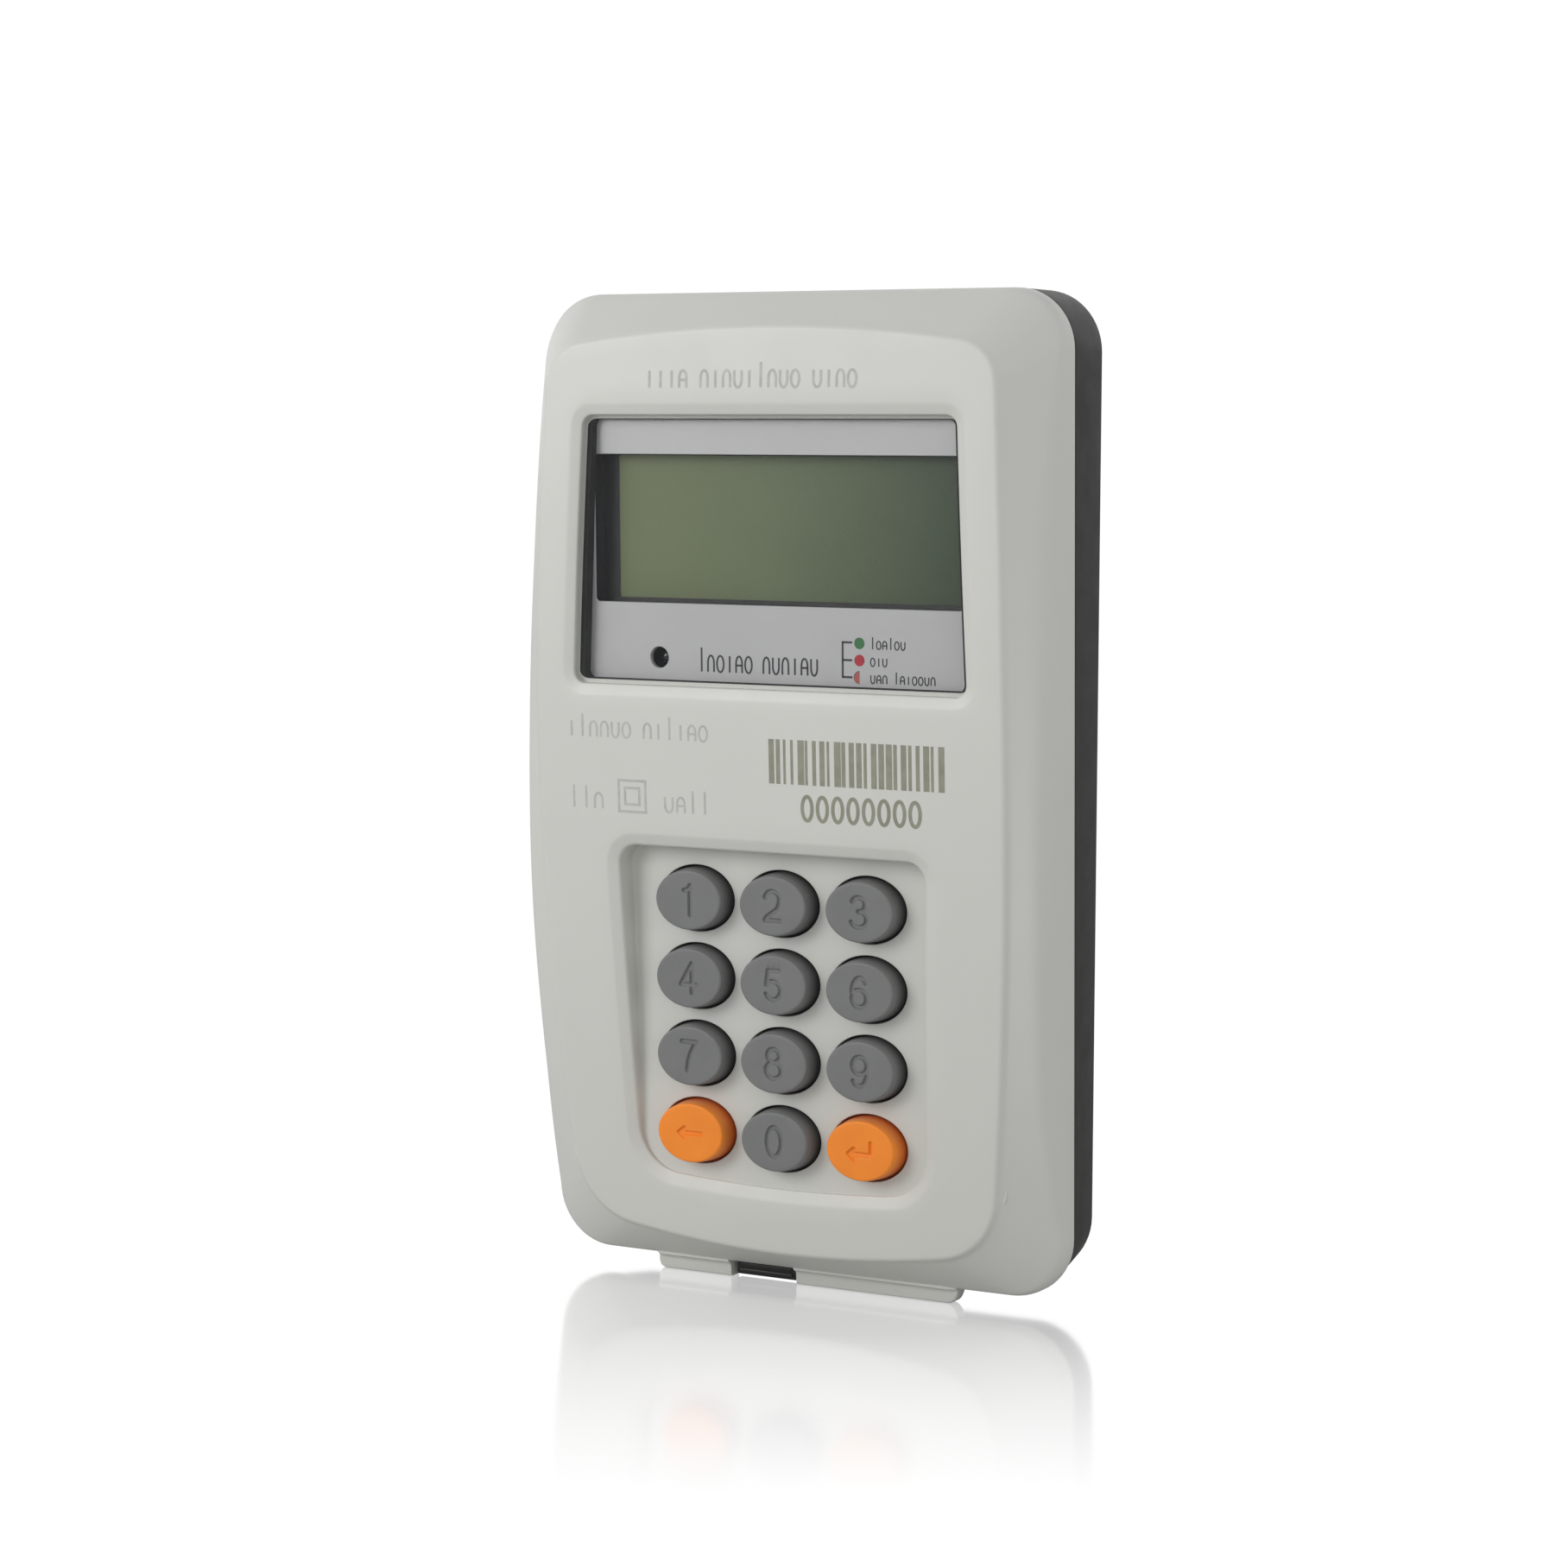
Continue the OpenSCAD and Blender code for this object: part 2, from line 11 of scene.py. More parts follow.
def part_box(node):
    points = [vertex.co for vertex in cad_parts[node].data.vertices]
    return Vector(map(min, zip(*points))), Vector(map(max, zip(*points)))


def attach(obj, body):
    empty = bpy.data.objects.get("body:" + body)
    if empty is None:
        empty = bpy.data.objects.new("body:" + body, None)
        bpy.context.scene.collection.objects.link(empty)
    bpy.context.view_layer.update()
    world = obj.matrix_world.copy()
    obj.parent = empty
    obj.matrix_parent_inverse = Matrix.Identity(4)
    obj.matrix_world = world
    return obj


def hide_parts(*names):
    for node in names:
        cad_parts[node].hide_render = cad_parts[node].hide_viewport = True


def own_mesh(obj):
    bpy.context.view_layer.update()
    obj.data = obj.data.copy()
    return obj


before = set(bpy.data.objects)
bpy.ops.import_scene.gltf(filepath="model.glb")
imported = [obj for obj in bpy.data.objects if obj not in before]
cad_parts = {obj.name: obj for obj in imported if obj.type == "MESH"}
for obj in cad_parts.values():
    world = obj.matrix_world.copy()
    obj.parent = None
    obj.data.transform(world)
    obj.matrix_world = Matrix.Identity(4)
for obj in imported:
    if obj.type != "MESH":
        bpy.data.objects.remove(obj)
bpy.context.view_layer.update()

# ---- Front shell -------------------------------------------------------------------
# The off-white half of the case: one ABS moulding with a barrel-shaped raised face, a
# window opening with a ledge for the lens, and a tray with twelve key holes. Its wall is
# 2 mm thick, and six bosses behind the face take the screws of the main board.

MM = 0.001


def outline(side, top, bottom, r_top, r_bottom, n_side=34, n_arc=14, n_end=28):
    """A closed front-view loop with rounded corners, from its half-width, top and bottom curves."""

    def slope(curve, at):
        return (curve(at + 0.01) - curve(at - 0.01)) / 0.02

    def corner(end, sign, r):
        cx, cz = side(end(0)) - r, end(0) - sign * r
        z, x = cz, cx
        for _ in range(40):
            a = math.atan2(-slope(side, z), 1)
            b = math.atan2(sign, -sign * slope(end, x))
            z, x = cz + r * math.sin(a), cx + r * math.cos(b)
            cx, cz = side(z) - r * math.cos(a), end(x) - r * math.sin(b)
        turns = np.linspace(a, b, n_arc + 1)
        arc = np.column_stack([cx + r * np.cos(turns), cz + r * np.sin(turns)])
        return arc if sign > 0 else arc[::-1]

    low, high = corner(bottom, -1, r_bottom), corner(top, 1, r_top)
    heights = np.linspace(low[-1][1], high[0][1], n_side + 1)[1:-1]
    right = np.vstack([low, [(side(z), z) for z in heights], high])
    left = right[::-1] * (-1, 1)
    across = np.linspace(right[-1][0], left[0][0], n_end + 1)[1:-1]
    under = np.linspace(left[-1][0], right[0][0], n_end + 1)[1:-1]
    return np.vstack([right, [(x, top(x)) for x in across], left, [(x, bottom(x)) for x in under]])


def grown(loop, by):
    """The same loop, moved outwards by some millimetres, or inwards if it is negative."""
    along = np.roll(loop, -1, 0) - np.roll(loop, 1, 0)
    out = np.column_stack([along[:, 1], -along[:, 0]])
    return loop + out / np.linalg.norm(out, axis=1)[:, None] * by


def at_depth(loop, y):
    """A front-view loop as points in space, at one depth or at a depth for each point."""
    return np.column_stack([loop[:, 0], np.broadcast_to(y, len(loop)), loop[:, 1]])


def rounded_run(stations, radii, steps=6):
    """Rings along a section given by its corner loops, each corner eased by its radius."""
    rings = [stations[0]]
    for before, here, after, r in zip(stations, stations[1:], stations[2:], radii):
        back, on = before - here, after - here
        reach_back = np.linalg.norm(back, axis=1)[:, None]
        reach_on = np.linalg.norm(on, axis=1)[:, None]
        ease = np.minimum(r, 0.48 * np.minimum(reach_back, reach_on))
        a, b = here + back / reach_back * ease, here + on / reach_on * ease
        for t in np.linspace(0, 1, steps + 1):
            rings.append((1 - t) ** 2 * a + 2 * t * (1 - t) * here + t * t * b)
    return rings + [stations[-1]]


def inside(points, loop):
    """Which of the points lie inside a closed loop."""
    x, z = points[:, 0], points[:, 1]
    found = np.zeros(len(points), bool)
    for (x0, z0), (x1, z1) in zip(loop, np.roll(loop, -1, 0)):
        crosses = (z0 > z) != (z1 > z)
        if crosses.any():
            meet = x0 + (z - z0) / (z1 - z0 if z1 != z0 else 1e-12) * (x1 - x0)
            found ^= crosses & (x < meet)
    return found


class Skin:
    """Points and faces of one moulding, in millimetres."""

    def __init__(self):
        self.points, self.faces = [], []

    def add(self, points, faces):
        start = len(self.points)
        self.points.extend(tuple(p) for p in points)
        self.faces.extend(tuple(start + i for i in f) for f in faces)

    def loft(self, rings, cap_first=False, cap_last=False):
        """Closed rings of equal length joined in order, with flat caps where asked."""
        n = len(rings[0])
        faces = [(k * n + i, k * n + (i + 1) % n, (k + 1) * n + (i + 1) % n, (k + 1) * n + i)
                 for k in range(len(rings) - 1) for i in range(n)]
        if cap_first:
            faces.append(tuple(range(n))[::-1])
        if cap_last:
            faces.append(tuple((len(rings) - 1) * n + i for i in range(n)))
        self.add(np.vstack(rings), faces)

    def sheet(self, edge, holes, depth, spacing, extra=None):
        """A sheet inside a loop with holes in it, lying at depth(x, z)."""
        loops = [edge] + list(holes)
        low, high = edge.min(0), edge.max(0)
        grid = np.array([(x, z) for z in np.arange(low[1], high[1], spacing)
                         for x in np.arange(low[0], high[0], spacing)])
        keep = inside(grid, grown(edge, -spacing * 0.5))
        for hole in holes:
            keep &= ~inside(grid, grown(hole, spacing * 0.5))
        free = [grid[keep]] if keep.any() else []
        if extra is not None:
            free.append(extra)
        flat = np.vstack(loops + free)
        edges, start = [], 0
        for loop in loops:
            n = len(loop)
            edges += [(start + i, start + (i + 1) % n) for i in range(n)]
            start += n
        points, _, faces, *_ = delaunay_2d_cdt([Vector(p) for p in flat], edges, [], 0, 1e-5)
        points = np.array([tuple(p) for p in points])
        middles = np.array([points[list(f)].mean(0) for f in faces])
        keep = inside(middles, edge)
        for hole in holes:
            keep &= ~inside(middles, hole)
        self.add([(x, depth(x, z), z) for x, z in points], [f for f, k in zip(faces, keep) if k])

    def block(self, low, high, edge=0.3):
        """A box between two corners with softened edges."""
        low, high = Vector(low), Vector(high)
        shape = bmesh.new()
        bmesh.ops.create_cube(shape, size=1)
        for v in shape.verts:
            v.co = (low + high) / 2 + Vector(a * b for a, b in zip(v.co, high - low))
        bmesh.ops.bevel(shape, geom=list(shape.edges), offset=edge, segments=2, profile=0.5,
                        affect="EDGES")
        shape.verts.index_update()
        self.add([v.co[:] for v in shape.verts], [[v.index for v in f.verts] for f in shape.faces])
        shape.free()

    def turned(self, place, profile, sides=32, across=False):
        """A closed turned shape from (radius, distance) pairs that begin and end on its axis. It
        lies along Y at (x, z), or across the case along X at (y, z)."""
        angles = np.arange(sides) * (2 * math.pi / sides)
        ring = np.column_stack([np.cos(angles), np.zeros(sides), np.sin(angles)])
        rings = [ring * max(r, 1e-4) + (place[0], y, place[1]) for r, y in profile]
        if across:
            rings = [r[:, [1, 0, 2]] for r in rings]
        self.loft(rings, cap_first=True, cap_last=True)

    def mesh(self, name):
        """The skin as a mesh in metres, with meeting points merged and faces turned outwards."""
        mesh = bpy.data.meshes.new(name)
        mesh.from_pydata([tuple(c * MM for c in p) for p in self.points], [], self.faces)
        shape = bmesh.new()
        shape.from_mesh(mesh)
        bmesh.ops.remove_doubles(shape, verts=shape.verts, dist=2e-6)
        bmesh.ops.dissolve_degenerate(shape, edges=shape.edges, dist=1e-7)
        bmesh.ops.recalc_face_normals(shape, faces=shape.faces)
        shape.to_mesh(mesh)
        shape.free()
        return mesh


def piece(name, skin, finish, body, soft_angle=32):
    """A finished object from a skin or a mesh, with its finish, riding on its body."""
    mesh = skin.mesh(name) if isinstance(skin, Skin) else skin
    thing = bpy.data.objects.new(name, mesh)
    bpy.context.scene.collection.objects.link(thing)
    mesh.polygons.foreach_set("use_smooth", [True] * len(mesh.polygons))
    mesh.set_sharp_from_angle(angle=math.radians(soft_angle))
    if finish is not None:
        mesh.materials.clear()
        mesh.materials.append(finish)
    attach(thing, body)
    return thing


def nodes_of(name):
    """A new material with its node tree cleared down to one Principled shader."""
    material = bpy.data.materials.new(name)
    material.use_nodes = True
    tree = material.node_tree
    tree.nodes.clear()
    end = tree.nodes.new("ShaderNodeOutputMaterial")
    shader = tree.nodes.new("ShaderNodeBsdfPrincipled")
    tree.links.new(shader.outputs["BSDF"], end.inputs["Surface"])
    return material, tree, shader


def noise(tree, size_mm, detail=2.0):
    """Noise on object coordinates with features of about one size."""
    coords = tree.nodes.new("ShaderNodeTexCoord")
    texture = tree.nodes.new("ShaderNodeTexNoise")
    texture.inputs["Scale"].default_value = 1 / (size_mm * MM)
    texture.inputs["Detail"].default_value = detail
    tree.links.new(coords.outputs["Object"], texture.inputs["Vector"])
    return texture.outputs["Fac"]


def ramp(tree, source, stops):
    """A colour ramp fed by a value; stops are (position, linear colour)."""
    node = tree.nodes.new("ShaderNodeValToRGB")
    elements = node.color_ramp.elements
    while len(elements) < len(stops):
        elements.new(0.5)
    for element, (place, colour) in zip(elements, stops):
        element.position = place
        element.color = (*colour, 1)
    tree.links.new(source, node.inputs["Fac"])
    return node.outputs["Color"]


def ranged(tree, source, low, high, source_low=0.0, source_high=1.0):
    """A value brought from one range to another, and held inside it."""
    node = tree.nodes.new("ShaderNodeMapRange")
    for label, value in (("From Min", source_low), ("From Max", source_high), ("To Min", low),
                         ("To Max", high)):
        node.inputs[label].default_value = value
    tree.links.new(source, node.inputs["Value"])
    return node.outputs["Result"]


def multiplied(tree, first, second):
    """Two colours multiplied."""
    node = tree.nodes.new("ShaderNodeMixRGB")
    node.blend_type = "MULTIPLY"
    node.inputs["Fac"].default_value = 1.0
    tree.links.new(first, node.inputs["Color1"])
    tree.links.new(second, node.inputs["Color2"])
    return node.outputs["Color"]


def moulded(name, colour, vary=0.03, rough=0.5, rough_vary=0.06, grain_mm=0.35, grain_deep=0.006,
            patch_mm=22, specular=0.5, metal=0.0, coat=0.0, sheen=0.0):
    """Moulded, cast or painted stock: faint tone patches, uneven gloss and a fine grain."""
    material, tree, shader = nodes_of(name)
    pale = tuple(min(1, c * (1 + vary)) for c in colour)
    deep = tuple(c * (1 - vary) for c in colour)
    tree.links.new(ramp(tree, noise(tree, patch_mm, 3), [(0.35, deep), (0.65, pale)]),
                   shader.inputs["Base Color"])
    gloss = ranged(tree, noise(tree, patch_mm * 0.15, 4), rough - rough_vary, rough + rough_vary,
                   0.3, 0.7)
    tree.links.new(gloss, shader.inputs["Roughness"])
    bump = tree.nodes.new("ShaderNodeBump")
    bump.inputs["Strength"].default_value = 0.6
    bump.inputs["Distance"].default_value = grain_deep * MM
    tree.links.new(noise(tree, grain_mm, 3), bump.inputs["Height"])
    tree.links.new(bump.outputs["Normal"], shader.inputs["Normal"])
    shader.inputs["Specular IOR Level"].default_value = specular
    shader.inputs["Metallic"].default_value = metal
    shader.inputs["Coat Weight"].default_value = coat
    shader.inputs["Sheen Weight"].default_value = sheen
    return material


shell_low, shell_high = (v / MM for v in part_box("front_shell"))
case_half_w, case_half_h = shell_high.x, shell_high.z
front_y, rear_y = shell_low.y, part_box("rear_shell")[0].y / MM - 0.1
flange_low = shell_low.z


face_crest, face_bend = 24, 1700


def face_y(x, z):
    """Depth of the slow curve that the face follows, the same all the way across the case."""
    return front_y + (np.asarray(z) - face_crest) ** 2 / face_bend


case_loop = outline(lambda z: case_half_w, lambda x: case_half_h, lambda x: -case_half_h, 9, 9)
face_loop = outline(lambda z: 39.4 - (z - 3) ** 2 / (2080 if z > 3 else 1100),
                    lambda x: 68.5 - x * x / 474, lambda x: -70 + x * x / 324, 6.5, 11)
window_loop = outline(lambda z: 33.4 - (z - 15.4) * 1.8 / 40.3, lambda x: 55.7, lambda x: 15.4,
                      1.8, 1.8, n_arc=8)
tray_loop = outline(lambda z: 24.4 + (z + 60.1) * 1.8 / 51.2, lambda x: -8.9,
                    lambda x: -60.1 + 1.2 * 1.2 * (x / 24.4) ** 2, 3, 7)
lens_drop, lens_thick = 0.7, 1.35
frame_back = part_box("display_fascia")[0].y / MM
tray_floor, tray_back, skirt_back, board_front = -18.4, -16.9, -14.0, -12.8
above = case_loop[:, 1] + 8
crease = rear_y - np.maximum(2.8, 10.9 - above ** 2 / np.where(above > 0, 720, 400))

front = Skin()
face_thick = 2.2
face_edge = grown(face_loop, -2.6)
outside = [at_depth(face_edge, face_y(0, face_edge[:, 1])),
           at_depth(face_loop, face_y(0, face_loop[:, 1])),
           at_depth(grown(face_loop, 0.6), face_y(0, face_loop[:, 1]) + 0.85),
           at_depth(case_loop, crease),
           at_depth(case_loop, rear_y),
           at_depth(grown(case_loop, -2), rear_y),
           at_depth(grown(case_loop, -2), crease + 1.5),
           at_depth(grown(face_loop, -1.2), face_y(0, face_loop[:, 1]) + face_thick)]
front.loft(rounded_run(outside, [0.8, 0.7, 3.4, 0.25, 0.2, 1.0]))
inner_edge = grown(face_loop, -1.2)

window_rim = grown(window_loop, 1.9)
tray_rim = grown(tray_loop, 2.2)
front.sheet(face_edge, [window_rim, tray_rim], face_y, 2.2)

# soft chamfer round the window, wall, ledge under the lens, and the frame behind it
ledge_y = face_y(0, window_loop[:, 1]) + lens_drop + lens_thick + 0.05
ledge_loop, frame_loop = grown(window_loop, -0.6), grown(window_loop, 2.2)
front.loft(rounded_run(
    [at_depth(window_rim, face_y(0, window_rim[:, 1])),
     at_depth(grown(window_loop, 1.5), face_y(0, window_rim[:, 1]) + 0.05),
     at_depth(window_loop, face_y(0, window_loop[:, 1]) + 0.6),
     at_depth(window_loop, ledge_y),
     at_depth(ledge_loop, ledge_y),
     at_depth(ledge_loop, frame_back),
     at_depth(frame_loop, frame_back),
     at_depth(frame_loop, face_y(0, frame_loop[:, 1]) + face_thick)],
    [0.4, 0.25, 0.02, 0.1, 0.1, 0.2], 4))

# soft chamfer round the tray, its walls, and the fillet down to the floor
rim_y = face_y(0, tray_loop[:, 1]) + 0.8
fillet = np.minimum(1.3, (tray_floor - rim_y) * 0.7)
floor_loop = tray_loop + (grown(tray_loop, -1) - tray_loop) * fillet[:, None]
front.loft(rounded_run(
    [at_depth(tray_rim, face_y(0, tray_rim[:, 1])),
     at_depth(grown(tray_loop, 1.8), face_y(0, tray_rim[:, 1]) + 0.06),
     at_depth(tray_loop, rim_y),
     at_depth(tray_loop, tray_floor),
     at_depth(floor_loop, tray_floor)],
    [0.5, 0.5, 5], 6))

# floor with its twelve oval key holes
key_names = ["key_1", "key_2", "key_3", "key_4", "key_5", "key_6",
             "key_7", "key_8", "key_9", "key_back", "key_0", "key_enter"]
key_centres = [sum(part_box(n), Vector()) / 2 / MM for n in key_names]
turns = np.arange(56) * (2 * math.pi / 56)
oval = np.column_stack([np.cos(turns), np.sin(turns)])
hole_half = np.array([6.5, 5.1])
holes = [oval * hole_half + (c.x, c.z) for c in key_centres]
front.sheet(floor_loop, [grown(h, 0.25) for h in holes], lambda x, z: tray_floor, 1.8)
for hole in holes:
    front.loft(rounded_run([at_depth(grown(hole, 0.25), tray_floor), at_depth(hole, tray_floor),
                            at_depth(hole, tray_back)], [0.24], 4))
skirt_in, skirt_out = grown(tray_loop, 0.2), grown(tray_loop, 1.6)
front.sheet(skirt_in, holes, lambda x, z: tray_back, 2.5)
front.loft([at_depth(skirt_in, tray_back), at_depth(skirt_in, skirt_back),
            at_depth(skirt_out, skirt_back),
            at_depth(skirt_out, face_y(0, skirt_out[:, 1]) + face_thick)])
front.sheet(inner_edge, [frame_loop, skirt_out], lambda x, z: face_y(x, z) + face_thick, 4)
shell_mesh = front.mesh("front_case")
# flange below the case, with rounded ends and a small fillet up to it, left and right of the notch
notch_left, notch_right, notch_top = -13.1, -1.6, -70.5
flange_front, flange_half = -12.0, 26.0


def flange_ring(x, low, fillet):
    """Section of the flange at one place along it; the fillet shrinks towards its ends."""
    top = -case_half_h
    return np.array([(x, y, z) for y, z in [
        (rear_y, top + 1.2), (rear_y, low + 0.3), (rear_y - 0.3, low),
        (flange_front + 0.5, low), (flange_front + 0.15, low + 0.15), (flange_front, low + 0.5),
        (flange_front, top - fillet), (flange_front - 0.13 * fillet, top - 0.5 * fillet),
        (flange_front - 0.5 * fillet, top - 0.13 * fillet), (flange_front - fillet, top + 0.02),
        (flange_front - fillet, top + 1.2)]])


flange = Skin()
bends = np.linspace(0, math.pi / 2, 9)
right_end, left_end = [[(flange_half - r * (1 - math.sin(a)), flange_low + r * (1 - math.cos(a)),
                         0.9 * (1 - a / math.pi)) for a in bends] for r in (1.9, 0.9)]
for sections in ([(notch_right, flange_low, 0.9)] + right_end,
                 [(-x, z, f) for x, z, f in left_end[::-1]] + [(notch_left, flange_low, 0.9)]):
    rings = [flange_ring(x, z, fillet) for x, z, fillet in sections]
    flange.loft(rings, cap_first=True, cap_last=True)


def without(mesh, tools):
    """The mesh with a skin, or boxes given as (low, high) corners, taken out of it."""
    body = bpy.data.objects.new("cut_body", mesh)
    bpy.context.scene.collection.objects.link(body)
    cutter = tools
    if not isinstance(tools, Skin):
        cutter = Skin()
        for low, high in tools:
            cutter.block(low, high, 0.05)
    box = bpy.data.objects.new("cut_tool", cutter.mesh("cut_tool"))
    bpy.context.scene.collection.objects.link(box)
    step = body.modifiers.new("cut", "BOOLEAN")
    step.operation, step.solver, step.object = "DIFFERENCE", "EXACT", box
    seen = body.evaluated_get(bpy.context.evaluated_depsgraph_get())
    made = bpy.data.meshes.new_from_object(seen)
    bpy.data.objects.remove(body)
    bpy.data.objects.remove(box)
    return made


def joined(*meshes):
    """Several meshes as one."""
    shape = bmesh.new()
    for mesh in meshes:
        shape.from_mesh(mesh)
    made = bpy.data.meshes.new(meshes[0].name)
    shape.to_mesh(made)
    shape.free()
    return made


shell_mesh = without(shell_mesh, [((notch_left, -11.7, -case_half_h - 2),
                                   (notch_right, rear_y + 1, notch_top))])

# hooks behind the top wall, and the bosses for the board screws
behind = Skin()
hook_out = 25
for side in (-1, 1):
    x0, x1 = side * hook_out - 4, side * hook_out + 4
    behind.block((x0, -13.2, 69.9), (x1, -9.4, 72.6), 0.2)
    behind.block((x0, -9.9, 69.9), (x1, -7.1, 70.9), 0.2)
    behind.block((x0, -7.9, 70.4), (x1, -7.1, 71.6), 0.25)
screw_out = 34.5
screw_places = [(side * screw_out, z) for z in (60, 5, -57) for side in (-1, 1)]
for place in screw_places:
    top = float(face_y(0, place[1])) + 1.2
    behind.turned(place, [(3, top), (3, -13), (2.8, board_front), (1.15, board_front),
                          (1.15, -19)], 28)

shell_finish = moulded("light_shell_finish", (0.64, 0.645, 0.605), vary=0.012, rough=0.42,
                       rough_vary=0.04, grain_mm=0.22, grain_deep=0.004, patch_mm=40)
shell = piece("front_case", joined(shell_mesh, flange.mesh("flange"), behind.mesh("behind")),
              shell_finish, "front_unit")
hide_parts("front_shell")

# ---- Rear shell -----------------------------------------------------------------------
# The charcoal half that is screwed to the wall: a moulded tray whose sides lean in towards
# the wall, with two wall-screw holes, a square cable entry, posts for the cable clamp, and
# guides for the release latch. Its back is recessed inside a flat rim.

rear_low, rear_high = (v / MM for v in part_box("rear_shell"))
rim_front = rear_low.y
parting_loop = outline(lambda z: 44.05, lambda x: rear_high.z + 0.55, lambda x: rear_low.z, 9, 9)
wall_loop = outline(lambda z: 42.4 + (z + 72.2) * 1.65 / 145.2, lambda x: 73.5, lambda x: -72.2, 9, 9)
plate_front, recess_y = -2.0, -0.5
rim_edge = grown(wall_loop, -4.2)

rear = Skin()
rear.loft(rounded_run(
    [at_depth(rim_edge, recess_y),
     at_depth(grown(wall_loop, -3.8), recess_y),
     at_depth(grown(wall_loop, -3.3), 0),
     at_depth(wall_loop, 0),
     at_depth(parting_loop, rim_front),
     at_depth(grown(parting_loop, -2), rim_front),
     at_depth(grown(wall_loop, -2), plate_front),
     at_depth(rim_edge, plate_front)],
    [0.2, 0.2, 0.6, 0.25, 0.25, 1.0], 5))


def ring_round(x, z, r, n=40):
    """A circle in the front view."""
    at = np.arange(n) * (2 * math.pi / n)
    return np.column_stack([x + r * np.cos(at), z + r * np.sin(at)])


wall_screws = [(0, 30), (0, -30)]
entry = outline(lambda z: 15, lambda x: 12, lambda x: -12, 1.2, 1.2, 6, 5, 8)
ejector_marks = [(x, z) for x in (-31, 31) for z in (-52, -6, 50)]
rear.sheet(rim_edge, [ring_round(*p, 6.2) for p in wall_screws]
           + [grown(entry, 2.4)] + [ring_round(*p, 2.6) for p in ejector_marks],
           lambda x, z: recess_y, 5)
for place in wall_screws:
    rear.loft(rounded_run([at_depth(ring_round(*place, r), y) for r, y in
                           [(6.2, recess_y), (5.8, 0), (2.2, 0), (2.2, -2.8), (5.5, -2.8),
                            (5.5, plate_front)]], [0.2, 0.3, 0.3, 0.3], 4))
rear.loft(rounded_run([at_depth(grown(entry, g), y) for g, y in
                       [(2.4, recess_y), (2.0, 0), (0, 0), (0, plate_front)]], [0.2, 0.3], 4))
for place in ejector_marks:
    rear.loft([at_depth(ring_round(*place, r), y) for r, y in
               [(2.6, recess_y), (2.5, recess_y - 0.12), (0.01, recess_y - 0.12)]], cap_last=True)
rear.sheet(rim_edge, [ring_round(*p, 5.5) for p in wall_screws] + [entry],
           lambda x, z: plate_front, 5)

fittings = Skin()
for side in (-1, 1):
    fittings.turned((side * 10, -19), [(2.9, -1.6), (2.6, -2.4), (2.5, -4.8), (2.3, -5.0),
                                       (1.1, -5.0), (1.1, -2.4)], 28)
for x in (-11.9, -3.9):
    fittings.block((x, -8.2, -70.6), (x + 1.4, -1.6, -65.2), 0.2)
fittings.block((-11.9, -8.2, -65.4), (-2.5, -1.6, -64), 0.2)
pockets = [((side * hook_out - 4.5, -8.9, 70.6), (side * hook_out + 4.5, -6.4, 72.2))
           for side in (-1, 1)]
dark_finish = moulded("dark_shell_finish", (0.020, 0.020, 0.0195), vary=0.06, rough=0.46,
                      grain_mm=0.3, grain_deep=0.008, patch_mm=30, specular=0.27)
rear_piece = piece("rear_tray", joined(without(rear.mesh("rear_tray"), pockets),
                                       fittings.mesh("fittings")), dark_finish, "wall_base")
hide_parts("rear_shell")

# ---- Release latch --------------------------------------------------------------------
# A black acetal tongue in the notch under the case. Pushed up against its spring, it frees
# the front half. Its lower end has grip ridges for a fingertip or a screwdriver.

latch_low, latch_high = (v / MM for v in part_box("release_latch"))
latch = Skin()
latch.block((latch_low.x, latch_low.y + 0.3, latch_low.z), (latch_high.x, -9.8, -67.7), 0.25)
for step in range(4):
    z = latch_low.z + 0.5 + step * 0.95
    latch.block((latch_low.x + 0.6, latch_low.y, z), (latch_high.x - 0.6, latch_low.y + 0.6, z + 0.5),
                0.12)
latch.block((-10.2, -10.0, -70.2), (-4.2, latch_high.y, -68.6), 0.2)
latch_finish = moulded("black_acetal", (0.022, 0.022, 0.021), vary=0.05, rough=0.42,
                       grain_mm=0.2, grain_deep=0.004, patch_mm=6)
latch_piece = piece("latch_tongue", latch, latch_finish, "release_latch")
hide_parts("release_latch")

# ---- Window -----------------------------------------------------------------------------
# A clear polycarbonate lens lies on the ledge in thin black tape and follows the curve of
# the face. Behind it a dark foam frame runs back to the fascia and keeps dust out.

lens_loop = grown(window_loop, -0.15)
lens = Skin()
lens_front_y = face_y(0, lens_loop[:, 1]) + lens_drop
lens_inset = grown(lens_loop, -0.25)
lens.sheet(lens_inset, [], lambda x, z: face_y(x, z) + lens_drop, 3)
lens.loft([at_depth(lens_inset, face_y(0, lens_inset[:, 1]) + lens_drop),
           at_depth(lens_loop, lens_front_y + 0.2),
           at_depth(lens_loop, lens_front_y + lens_thick - 0.1),
           at_depth(grown(lens_loop, -0.1), face_y(0, grown(lens_loop, -0.1)[:, 1])
                    + lens_drop + lens_thick)])
lens.sheet(grown(lens_loop, -0.1), [], lambda x, z: face_y(x, z) + lens_drop + lens_thick, 3)

clear, tree, shader = nodes_of("clear_polycarbonate")
shader.inputs["Base Color"].default_value = (0.20, 0.205, 0.22, 1)
shader.inputs["IOR"].default_value = 1.58
shader.inputs["Specular IOR Level"].default_value = 0.25
shader.inputs["Alpha"].default_value = 0.04
tree.links.new(ranged(tree, noise(tree, 9, 3), 0.02, 0.07), shader.inputs["Roughness"])
lens_piece = piece("window_pane", lens, clear, "front_unit", 25)
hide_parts("window_lens")

